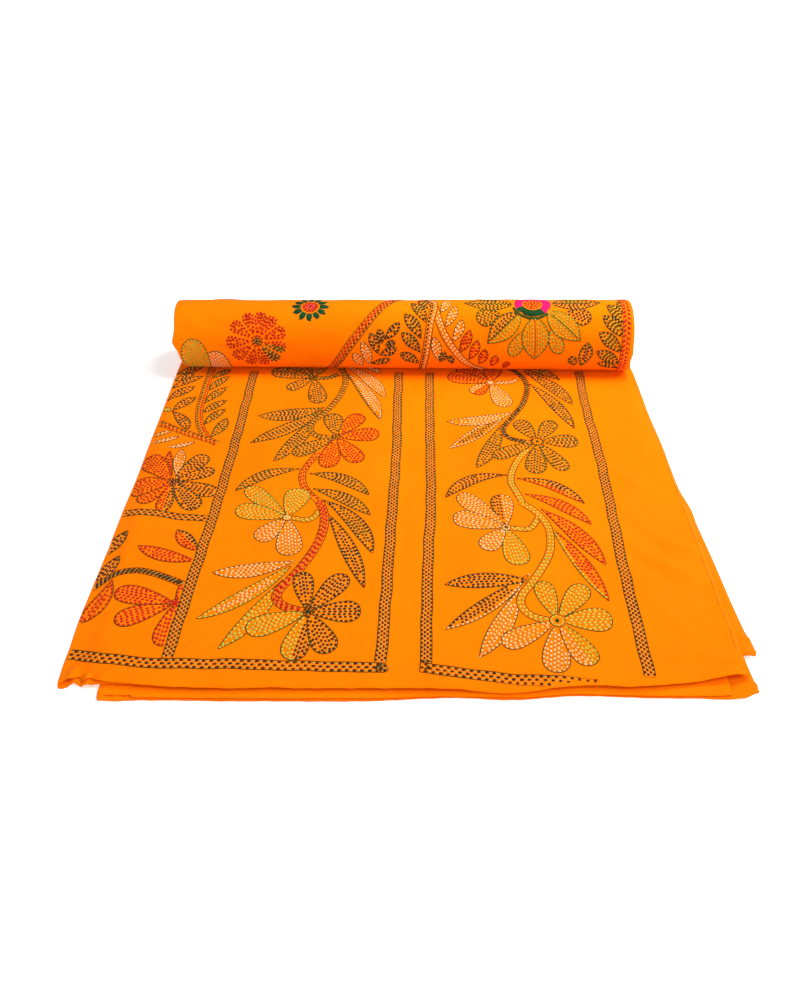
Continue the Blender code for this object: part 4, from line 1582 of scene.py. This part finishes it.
def cotton_material():
    """Orange cotton: a plain weave with uneven yarns, soft creases, and puckers."""
    made = Nodes("orange_cotton")
    place = made.attribute("cloth_place", "Vector")
    weave = weave_of(made, place)
    weft = made.noise(made.stretched(place, 18, 1500, 1), 1.0, 3.0)
    warp = made.noise(made.stretched(place, 1500, 18, 1), 1.0, 3.0)
    yarns = made.math("ADD", weft, warp)
    clouds = made.noise(place, 9.0, 4.0)
    creases = made.noise(place, 55.0, 3.0, 0.55)
    stitched = made.attribute("stitched", "Fac")
    gathered = made.math("MULTIPLY", made.noise(place, 190.0, 2.0), stitched)
    color = made.ramp(clouds, (0.30, CLOTH_DEEP), (0.70, CLOTH_LIGHT))
    streaks = made.ramp(yarns, (0.70, (0.955, 0.945, 0.93)), (1.25, WHITE))
    color = made.mix(1.0, color, streaks, "MULTIPLY")
    color = made.mix(made.parts(place)["Z"], color, CLOTH_UNDER)
    normal = made.bump(creases, 0.55, 0.0022)
    normal = made.bump(gathered, 0.60, 0.0011, normal)
    normal = made.bump(yarns, 0.35, 0.00018, normal)
    normal = made.bump(weave, 0.40, 0.00010, normal)
    return made.finish(color, normal, CLOTH_GLOSS)


def thread_material(name, shades):
    """Twisted cotton floss: its colour drifts along the work, and from stitch to stitch."""
    made = Nodes(name)
    parts = made.parts(made.attribute("thread_place", "Vector"))
    here = made.add("TexCoord").outputs["Object"]
    drift = made.noise(here, 24.0, 1.5)
    shade = made.math("ADD", drift, made.math("MULTIPLY", parts["Z"], 0.16))
    stops = [(0.40 + 0.34 * number / (len(shades) - 1), tone) for number, tone in enumerate(shades)]
    color = made.ramp(shade, *stops)
    spiral = made.math("MULTIPLY", parts["X"], 1 / STRAND_LENGTH)
    spiral = made.math("ADD", spiral, made.math("MULTIPLY", parts["Y"], 2.0))
    spiral = made.math("SINE", made.math("MULTIPLY", spiral, TAU))
    # darker where the twist's bump is low: painted shade in the grooves between the strands
    strand_groove_shade = made.ramp(spiral, (0.0, (0.72, 0.72, 0.72)), (0.8, WHITE))
    color = made.mix(0.8, color, strand_groove_shade, "MULTIPLY")
    fuzz = made.noise(here, 2600.0, 2.0)
    normal = made.bump(spiral, 0.45, 0.00010)
    normal = made.bump(fuzz, 0.25, 0.00008, normal)
    return made.finish(color, normal, THREAD_GLOSS)


# thread: record slot, then its shades from one end of its drift to the other
THREADS = {
    "navy": ("navy_thread", (0.038, 0.024, 0.022), (0.080, 0.028, 0.007), (0.140, 0.038, 0.002)),
    "forest": ("forest_thread", (0.000, 0.045, 0.012), (0.002, 0.080, 0.022)),
    "red": ("red_thread", (0.740, 0.022, 0.008), (0.480, 0.012, 0.003), (0.680, 0.026, 0.003)),
    "crimson": ("crimson_thread", (0.600, 0.010, 0.014), (0.700, 0.026, 0.004)),
    "sage": ("lime_thread", (0.330, 0.320, 0.020), (0.520, 0.440, 0.040), (0.300, 0.360, 0.030)),
    "magenta": ("crimson_thread", (0.740, 0.004, 0.120), (0.860, 0.008, 0.150)),
    "blush": ("blush_thread", (0.950, 0.520, 0.190), (0.960, 0.660, 0.330), (0.950, 0.540, 0.150)),
    "lime": ("lime_thread", (0.580, 0.540, 0.050), (0.760, 0.600, 0.080), (0.440, 0.560, 0.080)),
    "olive": ("olive_thread", (0.080, 0.055, 0.004), (0.140, 0.092, 0.005), (0.055, 0.050, 0.005)),
    "cotton": ("orange_cotton", (0.700, 0.140, 0.002), (0.800, 0.165, 0.002)),
    # paler and greyer than the cloth: a painted highlight on the swelling between dark stitches
    "pale_pucker": ("orange_cotton", (0.550, 0.400, 0.065), (0.640, 0.410, 0.090)),
    "coral": ("red_thread", (0.860, 0.200, 0.012), (0.900, 0.240, 0.020)),
    "moss": ("lime_thread", (0.720, 0.480, 0.035), (0.620, 0.470, 0.045)),
    # darker orange than the cloth, here and in the next line: painted shade on the swelling between
    # the stitches of pale threads and of the hem
    "shade": ("orange_cotton", (0.400, 0.190, 0.003), (0.480, 0.210, 0.004)),
    "hollow": ("orange_cotton", (0.520, 0.140, 0.002), (0.600, 0.160, 0.003)),
}
OUTLINE_SHADES = ((0.190, 0.066, 0.003), (0.120, 0.050, 0.004))


# ---------------------------------------------------------------- the stage
CAMERA_PLACE = (0.0073, -0.8434, 0.7405)
CAMERA_TILT, CAMERA_TURN = 47.7763, 1.16664


def add_light(name, kind, place, energy, **width):
    """A light that shines from its place to the middle of the scene."""
    lamp = bpy.data.lights.new(name, kind)
    lamp.energy = energy
    for key, value in width.items():
        setattr(lamp, key, value)
    light = place_object(name, lamp)
    light.location = place
    light.rotation_euler = (-Vector(place)).to_track_quat("-Z", "Y").to_euler()
    light.visible_camera = False


def make_floor():
    """A plain white floor, lit a little from within."""
    bpy.ops.mesh.primitive_plane_add(size=60, location=(0, 0, GROUND_Z))
    floor = bpy.context.object
    floor.name = "floor"
    made = Nodes("floor_white")
    speckle = made.noise(made.add("TexCoord").outputs["Object"], 3.0, 2.0)
    tone = made.ramp(speckle, (0.3, (0.93, 0.93, 0.93)), (0.7, (0.94, 0.94, 0.94)))
    lit = {"Roughness": 0.9, "Emission Color": (*WHITE, 1.0), "Emission Strength": 0.40}
    floor.data.materials.append(made.finish(tone, None, lit))
    return floor


def make_daylight():
    """Soft light from all round, and three lights above and in front."""
    world = bpy.data.worlds.new("soft_daylight")
    world.use_nodes = True
    set_inputs(world.node_tree.nodes["Background"], {"Color": (*WHITE, 1.0), "Strength": 0.36})
    bpy.context.scene.world = world
    add_light("high_light", "SUN", (0.58, -0.06, 0.81), 1.55, angle=math.radians(24))
    add_light("front_light", "SUN", (0.05, -0.92, 0.39), 1.0, angle=math.radians(60))
    add_light("near_light", "AREA", (0.42, 0.33, 0.95), 9.2, size=0.5)


def make_camera():
    """The camera, at the photograph's viewing angle."""
    lens = bpy.data.cameras.new("camera")
    lens.lens = 28.8
    lens.sensor_width = 36.0
    camera = place_object("camera", lens)
    camera.location = CAMERA_PLACE
    camera.rotation_euler = (math.radians(CAMERA_TILT), 0.0, math.radians(CAMERA_TURN))
    bpy.context.scene.camera = camera
    bpy.context.scene.view_settings.view_transform = "Standard"


def sew_pieces(design):
    """A piece for each thread and one for the outlines, and the middles of the stitches."""
    pieces, stitch_points = [], []
    for number, (thread, (slot, *shades)) in enumerate(THREADS.items()):
        own = [stitch for stitch in design.stitches if stitch[1] == thread]
        material = thread_material(thread + "_thread", shades)
        stations = PUCKER_STATIONS if thread in SWELLINGS else STITCH_STATIONS
        piece = stitch_piece("stitches_" + thread, own, material, 100 + number, stations)
        pieces.append(piece)
        charts, ends = (np.array([stitch[field] for stitch in own]) for field in (0, 2))
        if thread not in ("cotton", *SWELLINGS):
            stitch_points.append(on_cloth(charts, ends.mean(axis=1)[:, None])[0][:, 0])
        print(thread, len(own), "stitches")
    outline = thread_material("outline_thread", OUTLINE_SHADES)
    outlines = cord_piece("outlines", design.cords, outline, 7)
    return [*pieces, outlines], np.concatenate(stitch_points)


def main():
    cloth, face_points = make_cloth(cotton_material())
    pieces, stitch_points = sew_pieces(embroider())
    mark_stitched(cloth, face_points, stitch_points)
    for piece in [cloth, *pieces]:
        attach(piece, "root")
    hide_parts("quilt")
    floor = make_floor()
    make_daylight()
    make_camera()


main()
